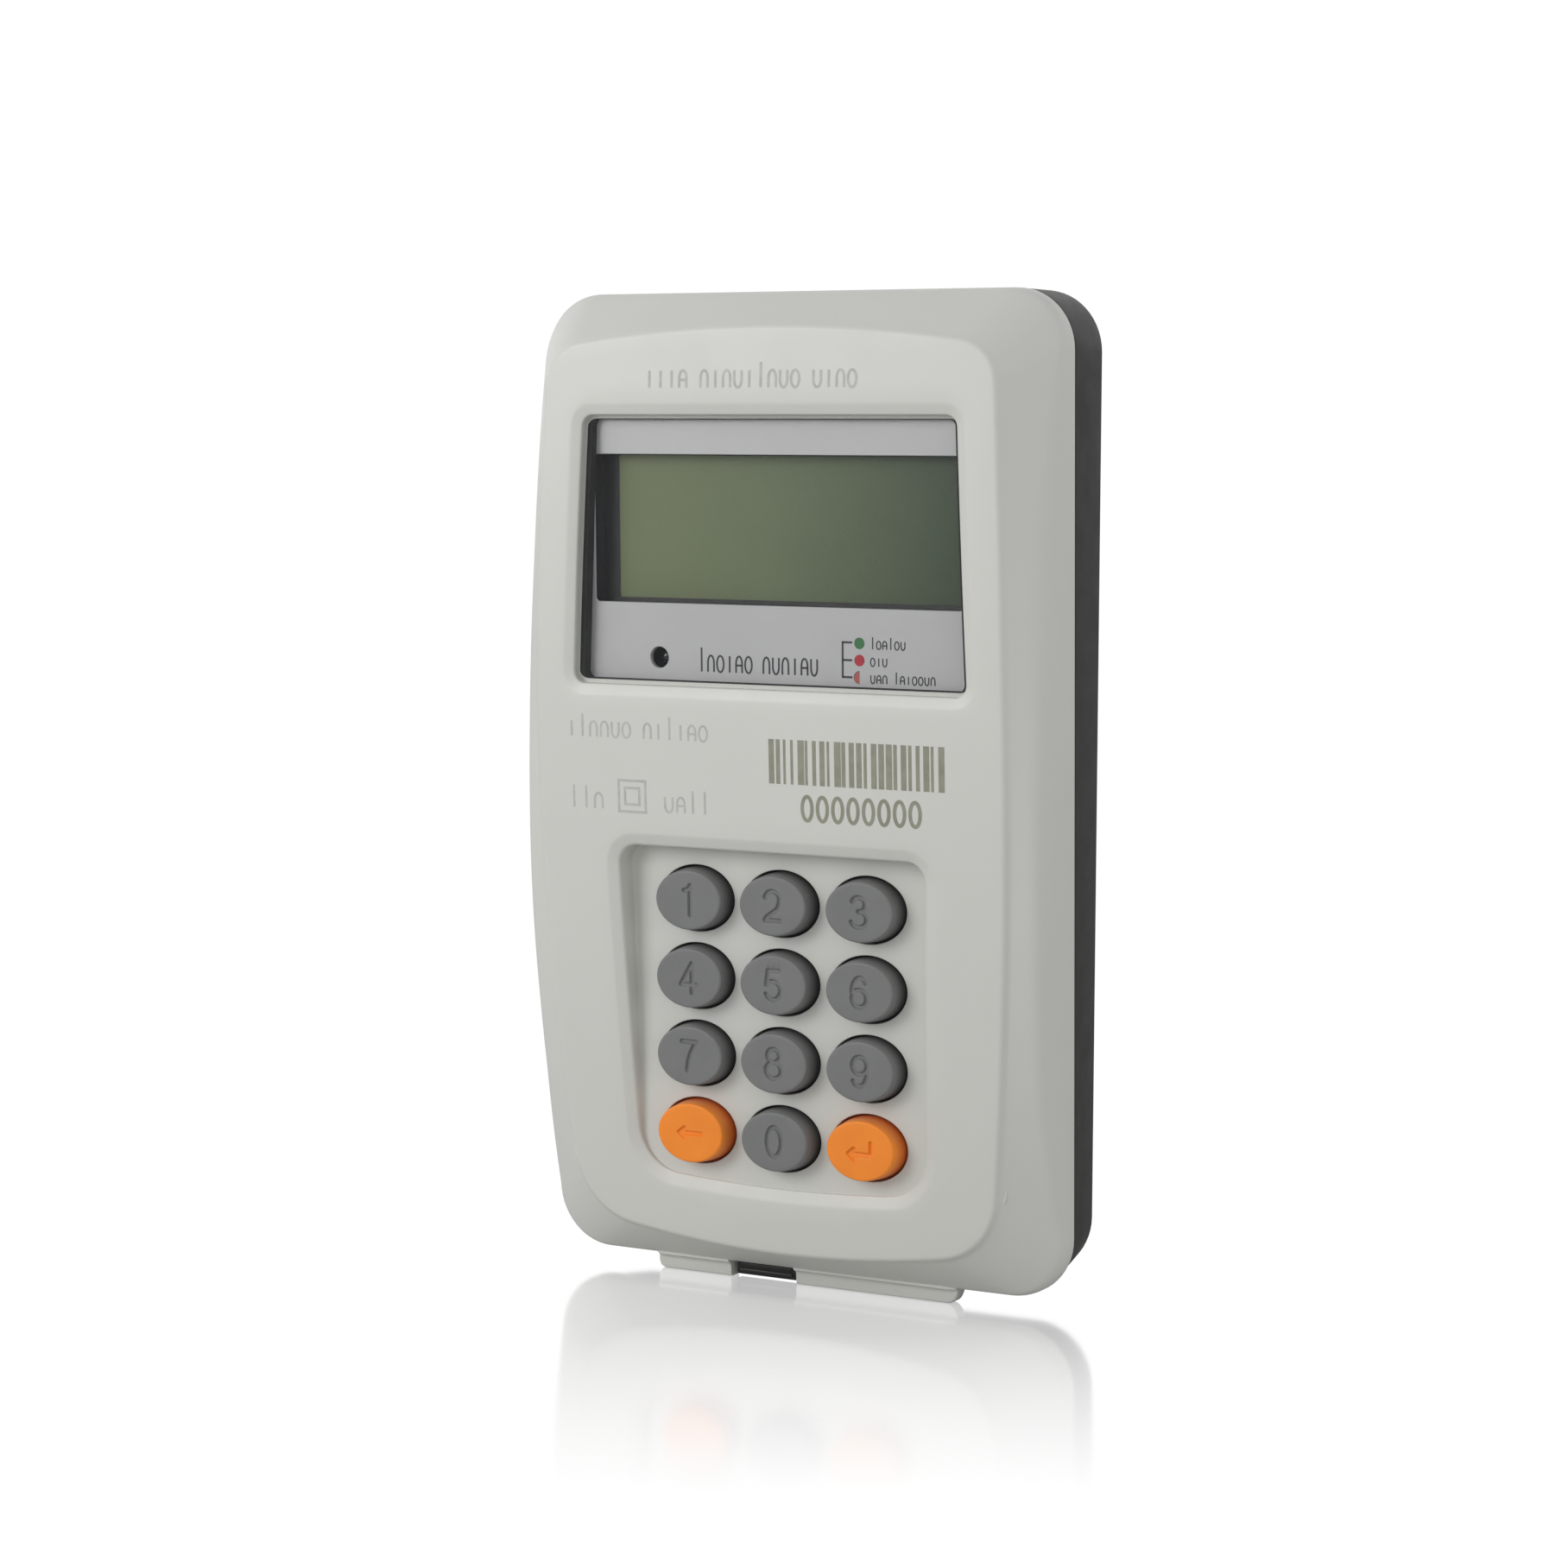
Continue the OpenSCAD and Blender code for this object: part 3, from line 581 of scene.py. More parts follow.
liner = Skin()
tape_out, liner_out, liner_in = (
    np.column_stack([grown(window_loop, side)[:, 0], grown(window_loop, end)[:, 1]])
    for side, end in ((-0.18, -0.6), (-0.62, -0.62), (-0.95, -0.7)))
tape_y = face_y(0, tape_out[:, 1]) + lens_drop + lens_thick
liner_y = face_y(0, liner_out[:, 1]) + lens_drop + lens_thick
liner.loft([at_depth(tape_out, tape_y + 0.005), at_depth(liner_in, liner_y + 0.01),
            at_depth(liner_in, frame_back - 0.02), at_depth(liner_out, frame_back - 0.02),
            at_depth(liner_out, liner_y + 0.045), at_depth(tape_out, tape_y + 0.045),
            at_depth(tape_out, tape_y + 0.005)])
liner_finish = moulded("dark_foam", (0.030, 0.030, 0.029), vary=0.12, rough=0.85, rough_vary=0.05,
                       grain_mm=0.16, grain_deep=0.03, patch_mm=5, specular=0.25)
liner_piece = piece("window_liner", liner, liner_finish, "front_unit")
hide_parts("lens_gasket")

# ---- Fascia ------------------------------------------------------------------------------
# A thin silver-printed panel behind the window, with a sharp-edged opening for the display
# and a round hole for the status light. A status key is printed beside the hole.

view_half_w, view_half_h, view_middle = 31.25, 11.1, 38.7
view_low, view_high = view_middle - view_half_h, view_middle + view_half_h
led_place = (-20.1, 19.4)
fascia_loop = grown(window_loop, 1.4)
view_loop = outline(lambda z: view_half_w, lambda x: view_high, lambda x: view_low, 0.35, 0.7,
                    8, 5, 12)
led_hole = ring_round(*led_place, 1.6, 36)
fascia_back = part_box("display_fascia")[1].y / MM
fascia = Skin()
fascia.sheet(grown(fascia_loop, -0.1), [grown(view_loop, 0.08), grown(led_hole, 0.08)],
             lambda x, z: frame_back, 4)
fascia.loft([at_depth(grown(fascia_loop, -0.1), frame_back), at_depth(fascia_loop, frame_back + 0.1),
             at_depth(fascia_loop, fascia_back)])
for opening in (view_loop, led_hole):
    fascia.loft([at_depth(grown(opening, 0.08), frame_back), at_depth(opening, frame_back + 0.08),
                 at_depth(opening, fascia_back)])
fascia.sheet(fascia_loop, [view_loop, led_hole], lambda x, z: fascia_back, 6)
silver = moulded("silver_print_finish", (0.49, 0.49, 0.495), vary=0.02, rough=0.38, rough_vary=0.05,
                 grain_mm=0.1, grain_deep=0.002, patch_mm=26, specular=0.5, metal=0.12)
fascia_piece = piece("silver_fascia", fascia, silver, "front_unit")
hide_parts("display_fascia")


ink_proud, ink_sunk = 0.02, 0.03


def ribbon(skin, line, width, depth, closed=False):
    """A printed stroke: a thin closed slab along a line of points, lying on depth(x, z)."""
    line = np.asarray(line, float)
    if closed:
        ahead = np.roll(line, -1, 0) - np.roll(line, 1, 0)
    else:
        ahead = np.gradient(line, axis=0)
    side = np.column_stack([-ahead[:, 1], ahead[:, 0]])
    side *= width / 2 / np.linalg.norm(side, axis=1)[:, None]
    left, right = line + side, line - side
    corners = [(left, -ink_proud), (right, -ink_proud), (right, ink_sunk), (left, ink_sunk)]
    rings = [[(x, float(depth(x, z)) + lift, z) for x, z in edge] for edge, lift in corners]
    n = len(line)
    points = np.array(rings).transpose(1, 0, 2).reshape(-1, 3)
    faces = [(4 * i + k, 4 * i + (k + 1) % 4, 4 * ((i + 1) % n) + (k + 1) % 4, 4 * ((i + 1) % n) + k)
             for i in range(n if closed else n - 1) for k in range(4)]
    if not closed:
        faces += [(3, 2, 1, 0), tuple(4 * (n - 1) + k for k in range(4))]
    skin.add(points, faces)


def arc(x, z, rx, rz, start, stop, n=14):
    """Points along an oval arc, with angles in degrees."""
    at = np.radians(np.linspace(start, stop, n))
    return np.column_stack([x + rx * np.cos(at), z + rz * np.sin(at)])


def blind_text(skin, words, x, z, height, width, stroke, depth, seed):
    """Stand-in marks for a line of small print: bars and ovals that spell nothing."""
    pick = random.Random(seed)
    small = height * 0.68
    for count in words:
        for _ in range(count):
            kind = pick.choice("ounalnui")
            mid = x + width / 2
            if kind == "o":
                ribbon(skin, arc(mid, z + small / 2, width * 0.36, small / 2, 0, 345, 16), stroke,
                       depth, closed=True)
            elif kind == "l":
                ribbon(skin, [(mid, z), (mid, z + height)], stroke, depth)
            elif kind == "i":
                ribbon(skin, [(mid, z), (mid, z + small)], stroke, depth)
            else:
                cup = arc(mid, z + small * 0.55, width * 0.32, small * 0.45, 0, 180, 12)
                if kind == "u":
                    cup = cup * (1, -1) + (0, 2 * z + small)
                foot = z + small if kind == "u" else z
                ribbon(skin, np.vstack([[(cup[0][0], foot)], cup, [(cup[-1][0], foot)]]), stroke, depth)
                if kind == "a":
                    ribbon(skin, [(cup[-1][0], z + small * 0.45), (cup[0][0], z + small * 0.45)],
                           stroke, depth)
            x += width
        x += width * 0.9
    return x


def disc(skin, x, z, r, depth, thick=0.03, start=0, stop=360):
    """A printed dot, or part of one."""
    n = 28
    at = np.radians(np.linspace(start, stop, n, endpoint=stop - start < 360))
    ring = [(x + r * math.cos(a), z + r * math.sin(a)) for a in at]
    front_ring = [(px, depth(px, pz) - thick, pz) for px, pz in ring]
    back_ring = [(px, depth(px, pz) + ink_sunk, pz) for px, pz in ring]
    skin.loft([np.array(front_ring), np.array(back_ring)], cap_first=True, cap_last=True)


def on_fascia(x, z):
    """Depth of the flat fascia, the same everywhere."""
    return frame_back


fascia_ink = Skin()
blind_text(fascia_ink, [6, 6], -13.5, 17.5, 3.6, 1.62, 0.3, on_fascia, 5)
ribbon(fascia_ink, [(13.0, 22.6), (11.4, 22.6)], 0.32, on_fascia)
ribbon(fascia_ink, [(11.4, 22.76), (11.4, 17.34)], 0.32, on_fascia)
ribbon(fascia_ink, [(11.4, 20.0), (13.0, 20.0)], 0.32, on_fascia)
ribbon(fascia_ink, [(11.4, 17.5), (13.0, 17.5)], 0.32, on_fascia)
for row, (z, words) in enumerate([(21.7, [6]), (19.2, [3]), (16.7, [3, 7])]):
    blind_text(fascia_ink, words, 15.9, z, 1.75, 1.0, 0.2, on_fascia, 30 + row)
key_x = 14.2
disc(fascia_ink, key_x, 17.5, 0.95, on_fascia, 0.02, 90, 270)


def ink(name, colour, rough=0.55):
    """Screen-printed ink: a thin, slightly uneven coat."""
    return moulded(name, colour, vary=0.08, rough=rough, grain_mm=0.12, grain_deep=0.003, patch_mm=1.5)


piece("fascia_marks", fascia_ink, ink("black_ink", (0.035, 0.035, 0.037)), "front_unit")
dots = [("green_mark", 22.5, (0.03, 0.16, 0.045), 0, 360),
        ("red_mark", 20.0, (0.42, 0.018, 0.03), 0, 360),
        ("half_red_mark", 17.5, (0.45, 0.10, 0.08), 90, 270)]
for name, z, colour, start, stop in dots:
    dot = Skin()
    disc(dot, key_x, z, 0.85, on_fascia, 0.03, start, stop)
    piece(name, dot, ink(name + "_ink", colour), "front_unit")

# ---- Display --------------------------------------------------------------------------------
# A reflective liquid-crystal display in a black holder: two glass plates between polarising
# films. A black printed edge frames the olive-green viewing area, which is blank when unpowered;
# on the left side the black edge is widened by a strip of painted shade.

film_low, film_high = (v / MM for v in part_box("lcd_polarisers"))
film = Skin()
film_loop = outline(lambda z: film_high.x, lambda x: film_high.z, lambda x: film_low.z,
                    0.3, 0.3, 6, 4, 8)
for y0, y1 in ((film_low.y, film_low.y + 0.2), (film_high.y - 0.2, film_high.y)):
    film.loft([at_depth(film_loop, y0), at_depth(film_loop, y1)], cap_first=True, cap_last=True)
green, tree, shader = nodes_of("olive_polariser")
coords = tree.nodes.new("ShaderNodeTexCoord")
split = tree.nodes.new("ShaderNodeSeparateXYZ")
tree.links.new(coords.outputs["Object"], split.inputs[0])
# the olive deepens from left to right; it stands in for the light falling off across the film
tone = ramp(tree, ranged(tree, split.outputs["X"], 0, 1, -30 * MM, 30 * MM),
            [(0.0, (0.178, 0.215, 0.108)), (0.45, (0.140, 0.180, 0.092)),
             (1.0, (0.050, 0.075, 0.042))])
cloud = ramp(tree, noise(tree, 7, 3), [(0.3, (0.95, 0.95, 0.95)), (0.7, (1.0, 1.0, 1.0))])
tree.links.new(multiplied(tree, tone, cloud), shader.inputs["Base Color"])
tree.links.new(ranged(tree, noise(tree, 0.4, 2), 0.3, 0.42), shader.inputs["Roughness"])
shader.inputs["Specular IOR Level"].default_value = 0.3
film_piece = piece("display_films", film, green, "front_unit")
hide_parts("lcd_polarisers")

mask = Skin()
mask_out = outline(lambda z: 31.9, lambda x: 50.6, lambda x: 27.1, 0.3, 0.3, 6, 4, 8)
# the inner edge is set 0.65 mm to the right, so the black edge is 1.3 mm wider on the left than on the
# right; that extra strip is painted shade, a dark band for the shadow down the left side of the viewing
# area
mask_in = outline(lambda z: 29.1, lambda x: 49.6, lambda x: 28.2, 0.3, 0.3, 6, 4, 8) + (0.65, 0)
mask.loft([at_depth(mask_out, film_low.y), at_depth(mask_out, film_low.y - 0.03),
           at_depth(mask_in, film_low.y - 0.03), at_depth(mask_in, film_low.y),
           at_depth(mask_out, film_low.y)])
lip_out, lip_in = grown(view_loop, -0.01), grown(view_loop, -0.05)
mask.loft([at_depth(lip_out, frame_back + 0.1), at_depth(lip_in, frame_back + 0.1),
           at_depth(lip_in, fascia_back), at_depth(lip_out, fascia_back),
           at_depth(lip_out, frame_back + 0.1)])
piece("display_black_edge_and_shade", mask, ink("black_ink_and_painted_shade", (0.012, 0.012, 0.012), 0.4), "front_unit")

# ---- Status light ----------------------------------------------------------------------------
# A 3 mm light-emitting diode with a smoky domed lens, standing on a black spacer tube, with
# its two legs soldered through the main board.

led = Skin()
dome = [(1.45 * math.cos(a), -16.75 - 1.45 * math.sin(a)) for a in np.linspace(1.5, 0, 9)]
led.turned(led_place, [(0.02, -18.2)] + dome + [(1.45, -14.7), (1.8, -14.6), (1.8, -13.85)], 32)
for side in (-1, 1):
    led.block((led_place[0] + side * 0.9 - 0.22, -13.95, led_place[1] - 0.22),
              (led_place[0] + side * 0.9 + 0.22, -10.4, led_place[1] + 0.22), 0.05)
led_finish = moulded("smoky_epoxy", (0.014, 0.014, 0.015), vary=0.1, rough=0.12, rough_vary=0.03,
                     grain_mm=0.5, grain_deep=0.001, patch_mm=1.0, specular=0.6)
led_piece = piece("status_diode", led, led_finish, "front_unit")
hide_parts("status_led")

# ---- Keys ---------------------------------------------------------------------------------------
# Twelve silicone-rubber keys, ten grey and two orange, moulded with a flat oval top, a rounded
# edge and drafted sides. Digits and arrows are sunk a quarter of a millimetre into the tops. A
# wider skirt behind the floor keeps each key in, and a stem carries its carbon contact pill.


def symbol(mark):
    """Lines that make up a key's sunk mark, centred on the key, in millimetres."""
    six = [arc(0, -1.08, 1.42, 1.5, 0, 360, 30), arc(0.12, -0.1, 1.56, 2.6, 178, 42, 20)]
    return {
        "0": [arc(0, 0, 1.42, 2.58, 0, 360, 40)],
        "1": [[(0.42, -2.6), (0.42, 2.62)], arc(-0.75, 2.9, 1.2, 1.2, 345, 268, 8)],
        "2": [arc(-0.02, 1.18, 1.45, 1.4, 168, -22, 20), arc(-0.4, 0.75, 1.72, 1.9, -3, -48, 8),
              [(0.75, -0.66), (-1.1, -1.9), (-1.5, -2.5), (1.55, -2.5)]],
        "3": [arc(-0.1, 1.32, 1.3, 1.25, 155, -90, 20), arc(-0.05, -1.2, 1.55, 1.38, 90, -158, 24)],
        "4": [[(0.62, -2.6), (0.62, 2.6), (-1.6, -1.15), (1.6, -1.15)]],
        "5": [[(1.3, 2.52), (-0.95, 2.52), (-1.32, -0.05)], arc(-0.02, -0.95, 1.5, 1.6, 142, -155, 24)],
        "6": six,
        "7": [[(-1.5, 2.5), (1.5, 2.5)], [(1.5, 2.5), (0.75, 1.45), (0.15, 0.2), (-0.25, -1.1),
                                          (-0.45, -2.6)]],
        "8": [arc(0, 1.38, 1.2, 1.18, 0, 360, 28), arc(0, -1.2, 1.5, 1.4, 0, 360, 32)],
        "9": [-np.asarray(line) for line in six],
        "back": [[(2.3, 0), (-2.3, 0), (-1.1, 0.85)], [(-2.3, 0), (-1.1, -0.85)]],
        "enter": [[(2.1, 1.5), (2.1, -0.6), (-2.3, -0.6), (-1.2, 0.3)], [(-2.3, -0.6), (-1.2, -1.5)]],
    }[mark]


def sunk(points, lines, stroke, deep):
    """How far each point is sunk by the lines of a mark."""
    near = np.full(len(points), 9.0)
    for line in lines:
        line = np.asarray(line, float)
        for a, b in zip(line, line[1:]):
            along = b - a
            t = np.clip(((points - a) @ along) / (along @ along), 0, 1)
            near = np.minimum(near, np.linalg.norm(points - a - t[:, None] * along, axis=1))
    wall = np.clip((stroke / 2 + 0.1 - near) / 0.2, 0, 1)
    return deep * wall * wall * (3 - 2 * wall), near


mark_width, mark_deep = 0.6, 0.36


def shaded_sides(finish, light_y, dark_y, dark):
    """Darkens a finish from one depth to another. It stands in for the shade between the keys:
    the rubber itself is one colour all through."""
    tree = finish.node_tree
    shader = next(n for n in tree.nodes if n.type == "BSDF_PRINCIPLED")
    tint = shader.inputs["Base Color"].links[0].from_socket
    place = tree.nodes.new("ShaderNodeTexCoord")
    parts = tree.nodes.new("ShaderNodeSeparateXYZ")
    tree.links.new(place.outputs["Object"], parts.inputs[0])
    depth = ranged(tree, parts.outputs["Y"], 0, 1, light_y * MM, dark_y * MM)
    shade = ramp(tree, depth, [(0.0, (1, 1, 1)), (1.0, dark)])
    tree.links.new(multiplied(tree, tint, shade), shader.inputs["Base Color"])


def key_cap(name, mark, finish, body):
    """One key with its sunk mark, in place of its CAD node."""
    low, high = (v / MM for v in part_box(name))
    cx, cz, top = (low.x + high.x) / 2, (low.z + high.z) / 2, low.y
    lines = [np.asarray(line, float) * 0.86 for line in symbol(mark)]
    cap = Skin()
    section = [(4.75, 3.65, 0), (5.68, 4.5, 0), (5.78, 4.56, 1.1), (6.15, 4.75, 3.0),
               (6.15, 4.75, 4.7), (6.95, 5.45, 4.7), (6.95, 5.45, 6.1), (3.2, 3.2, 6.1),
               (3.2, 3.2, 7.0)]
    rings = [at_depth(oval_key * (rx, rz) + (cx, cz), top + y) for rx, rz, y in section]
    cap.loft(rounded_run(rings, [0.9, 0.05, 0.3, 0.1, 0.2, 0.2, 0.2], 6), cap_last=True)
    step = 0.1
    box = abs(np.vstack(lines)).max() + 0.5
    grid = np.array([(x, z) for z in np.arange(-box, box, step) for x in np.arange(-box, box, step)])
    _, near = sunk(grid, lines, mark_width, mark_deep)
    fine = grid[near < 0.55]
    fine = fine[inside(fine, grown(oval_key * (4.75, 3.65), -0.1))]
    flat = Skin()
    flat.sheet(oval_key * (4.75, 3.65), [], lambda x, z: 0, 0.9, fine)
    flat_points = np.array(flat.points)
    drop, _ = sunk(flat_points[:, [0, 2]], lines, mark_width, mark_deep)
    cap.add([(x + cx, top + d, z + cz) for (x, _, z), d in zip(flat_points, drop)], flat.faces)
    made = piece(name + "_cap", cap, finish, body, 40)
    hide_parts(name)


angles = np.arange(72) * (2 * math.pi / 72)
oval_key = np.column_stack([np.cos(angles), np.sin(angles)])
grey_rubber = moulded("grey_silicone", (0.186, 0.188, 0.188), vary=0.03, rough=0.56, rough_vary=0.04,
                      grain_mm=0.18, grain_deep=0.005, patch_mm=5, specular=0.4, sheen=0.05)
orange_rubber = moulded("orange_silicone", (0.95, 0.27, 0.022), vary=0.03, rough=0.5, rough_vary=0.04,
                        grain_mm=0.18, grain_deep=0.005, patch_mm=5, specular=0.4, sheen=0.05)
key_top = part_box("key_5")[0].y / MM
shaded_sides(grey_rubber, key_top + 0.7, key_top + 2.5, (0.26, 0.26, 0.26))
shaded_sides(orange_rubber, key_top + 0.7, key_top + 2.6, (0.62, 0.40, 0.3))
for name in key_names:
    mark = name[4:]
    special = mark in ("back", "enter")
    key_cap(name, mark, orange_rubber if special else grey_rubber, name)

# ---- Print on the face ---------------------------------------------------------------------------
# Pale grey pad printing on the off-white face: a title line, two short lines and the nested
# squares that mean double insulation, all faint, and a darker bar pattern with a row under it.

faint = Skin()
blind_text(faint, [4, 9, 4], -20.4, 59.7, 3.7, 1.93, 0.42, face_y, 11)
blind_text(faint, [6, 6], -34.5, 7.4, 3.4, 1.95, 0.34, face_y, 12)
blind_text(faint, [3], -34.5, -3.5, 3.4, 2.2, 0.34, face_y, 13)
blind_text(faint, [4], -17.6, -3.5, 3.4, 2.1, 0.34, face_y, 14)
for half in (2.35, 1.25):
    x, z = -23.0, -1.4
    square = [(x - half, z - half), (x + half, z - half), (x + half, z + half), (x - half, z + half)]
    for a, b in zip(square, square[1:] + square[:1]):
        reach = (np.array(b) - a) / (2 * half) * 0.2
        ribbon(faint, [a - reach, b + reach], 0.4, face_y)
piece("faint_marks", faint, ink("pale_grey_ink", (0.47, 0.475, 0.45)), "front_unit")

dark_row = Skin()
for i in range(8):
    zero = arc(7.25 + 2.56 * i, -1.75, 0.82, 1.78, 0, 360, 26)[:-1]
    ribbon(dark_row, zero, 0.58, face_y, closed=True)
bar_ink = ink("grey_ink", (0.27, 0.27, 0.21))
piece("bar_row_marks", dark_row, bar_ink, "front_unit")


def node_group(name, sizes):
    """An empty geometry tree with a geometry output and named number inputs."""
    group = bpy.data.node_groups.new(name, "GeometryNodeTree")
    group.interface.new_socket("Geometry", in_out="OUTPUT", socket_type="NodeSocketGeometry")
    for label in sizes:
        group.interface.new_socket(label, in_out="INPUT", socket_type="NodeSocketFloat")
    return group, group.nodes.new("NodeGroupInput"), group.nodes.new("NodeGroupOutput")


def grown_by_nodes(name, group, sizes, finish, body, soft_angle=30, places=()):
    """The plain mesh that a geometry tree makes with these sizes, as a finished piece. Places,
    in millimetres, go to the tree's geometry input."""
    points = bpy.data.meshes.new(name)
    points.from_pydata([tuple(c * MM for c in place) for place in places], [], [])
    carrier = bpy.data.objects.new(name, points)
    bpy.context.scene.collection.objects.link(carrier)
    step = carrier.modifiers.new("grow", "NODES")
    step.node_group = group
    for item in group.interface.items_tree:
        if item.in_out == "INPUT" and item.name in sizes:
            step[item.identifier] = sizes[item.name]
    seen = carrier.evaluated_get(bpy.context.evaluated_depsgraph_get())
    mesh = bpy.data.meshes.new_from_object(seen)
    bpy.data.objects.remove(carrier)
    mesh.name = name
    return piece(name, mesh, finish, body, soft_angle)


def calculation(group, kind, a, b):
    """A maths node; each side is a number or a socket."""
    node = group.nodes.new("ShaderNodeMath")
    node.operation = kind
    for slot_in, value in zip(node.inputs, (a, b)):
        if isinstance(value, (int, float)):
            slot_in.default_value = value
        else:
            group.links.new(value, slot_in)
    return node.outputs[0]


# upright bars of random width along a row, laid on the curve of the face
bars, given, result = node_group("bar_pattern", ["Left", "Width", "Low", "Height", "Bars", "Face"])
row = bars.nodes.new("GeometryNodeMeshLine")
count = bars.nodes.new("FunctionNodeFloatToInt")
bars.links.new(given.outputs["Bars"], count.inputs[0])
bars.links.new(count.outputs[0], row.inputs["Count"])
pitch = calculation(bars, "DIVIDE", given.outputs["Width"], given.outputs["Bars"])
offset = bars.nodes.new("ShaderNodeCombineXYZ")
bars.links.new(pitch, offset.inputs["X"])
bars.links.new(offset.outputs[0], row.inputs["Offset"])
begin = bars.nodes.new("ShaderNodeCombineXYZ")
bars.links.new(given.outputs["Left"], begin.inputs["X"])
bars.links.new(given.outputs["Low"], begin.inputs["Z"])
bars.links.new(begin.outputs[0], row.inputs["Start Location"])
bar = bars.nodes.new("GeometryNodeMeshCube")
bar.inputs["Size"].default_value = (1, 1, 1)
bar.inputs["Vertices Z"].default_value = 6
stand = bars.nodes.new("GeometryNodeTransform")
stand.inputs["Translation"].default_value = (0.5, 0, 0.5)
bars.links.new(bar.outputs["Mesh"], stand.inputs["Geometry"])
spread = bars.nodes.new("FunctionNodeRandomValue")
spread.data_type = "FLOAT"
spread.inputs["Min"].default_value = 0.3
spread.inputs["Max"].default_value = 0.9
spread.inputs["Seed"].default_value = 7
widths = calculation(bars, "MULTIPLY", spread.outputs["Value"], pitch)
size = bars.nodes.new("ShaderNodeCombineXYZ")
bars.links.new(widths, size.inputs["X"])
size.inputs["Y"].default_value = 0.05 * MM
bars.links.new(given.outputs["Height"], size.inputs["Z"])
lay = bars.nodes.new("GeometryNodeInstanceOnPoints")
bars.links.new(row.outputs["Mesh"], lay.inputs["Points"])
bars.links.new(stand.outputs["Geometry"], lay.inputs["Instance"])
bars.links.new(size.outputs[0], lay.inputs["Scale"])
real = bars.nodes.new("GeometryNodeRealizeInstances")
bars.links.new(lay.outputs["Instances"], real.inputs["Geometry"])
place = bars.nodes.new("GeometryNodeInputPosition")
parts = bars.nodes.new("ShaderNodeSeparateXYZ")
bars.links.new(place.outputs[0], parts.inputs[0])
above = calculation(bars, "SUBTRACT", parts.outputs["Z"], face_crest * MM)
bend = calculation(bars, "DIVIDE", calculation(bars, "MULTIPLY", above, above), face_bend * MM)
level = calculation(bars, "ADD", bend, given.outputs["Face"])
shift = bars.nodes.new("ShaderNodeCombineXYZ")
bars.links.new(level, shift.inputs["Y"])
drape = bars.nodes.new("GeometryNodeSetPosition")
bars.links.new(real.outputs["Geometry"], drape.inputs["Geometry"])
bars.links.new(shift.outputs[0], drape.inputs["Offset"])
inked = bars.nodes.new("GeometryNodeSetMaterial")
inked.inputs["Material"].default_value = bar_ink
bars.links.new(drape.outputs["Geometry"], inked.inputs["Geometry"])
bars.links.new(inked.outputs["Geometry"], result.inputs["Geometry"])
grown_by_nodes("bar_pattern_marks", bars,
               {"Left": 0.9 * MM, "Width": 29.4 * MM, "Low": 1.7 * MM, "Height": 6.6 * MM,
                "Bars": 24.0, "Face": front_y * MM}, bar_ink, "front_unit")

# ---- Wall connections ----------------------------------------------------------------
# A green moulded terminal block takes the cable's cores in three brass cage clamps. The
# docking socket above it, of black nylon, joins the two halves, and a toothed nylon bar
# grips the cable's sheath. All are screwed or snapped into the rear shell.

terminal_x = (-9, 0, 9)
green_nylon = moulded("green_nylon", (0.055, 0.125, 0.065), vary=0.1, rough=0.5, grain_deep=0.01,
                      patch_mm=8)
black_nylon = moulded("black_nylon", (0.022, 0.022, 0.023), vary=0.12, rough=0.48, grain_deep=0.008,
                      patch_mm=7, specular=0.35)
brass = moulded("drawn_brass", (0.56, 0.40, 0.15), vary=0.1, rough=0.3, rough_vary=0.1, grain_mm=0.2,
                patch_mm=3, metal=1.0)

housing = Skin()
housing.block((-14, -9, -62), (14, -2, -50), 0.45)
wells = Skin()
for x in terminal_x:
    wells.block((x - 2.7, -7.2, -59.5), (x + 2.7, -3, -52.5), 0.1)
    wells.turned((x, -56), [(0, -10), (2.5, -10), (2.5, -8.8), (2.2, -8.5), (2.2, -7), (0, -7)], 36)
    wells.block((x - 1.7, -6.6, -53), (x + 1.7, -3.4, -49), 0.3)
for x in (-4.5, 4.5):
    wells.block((x - 0.4, -9.5, -63), (x + 0.4, -8.3, -49), 0.1)
made = piece("terminal_housing", without(housing.mesh("terminal_housing"), wells), green_nylon,
             "wall_base")
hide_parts("terminal_block")

socket = Skin()
socket.block((-9, -8, -46), (9, -2, -40), 0.35)
slots = Skin()
for x in (-6, -2, 2, 6):
    slots.block((x - 0.9, -9, -44.2), (x + 0.9, -4, -41.8), 0.15)
slots.block((-9.5, -8.4, -46.5), (-8.2, -7, -39.5), 0.05)
made = piece("docking_socket", without(socket.mesh("docking_socket"), slots), black_nylon, "wall_base")
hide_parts("dock_socket")

bar = Skin()
bar.block((-13.5, -7.4, -21.5), (13.5, -5, -16.5), 0.5)
teeth = Skin()
for x in (-4.5, -1.5, 1.5, 4.5):
    teeth.block((x - 0.5, -5.6, -22.5), (x + 0.5, -4, -15.5), 0.05)
for x in (-10, 10):
    teeth.turned((x, -19), [(0, -8), (1.5, -8), (1.5, -4), (0, -4)], 32)
made = piece("cable_grip", without(bar.mesh("cable_grip"), teeth), black_nylon, "wall_base")
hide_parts("cable_clamp")


def dress(finish, *names):
    """Gives CAD nodes their finish."""
    for name in names:
        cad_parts[name].data.materials.clear()
        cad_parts[name].data.materials.append(finish)


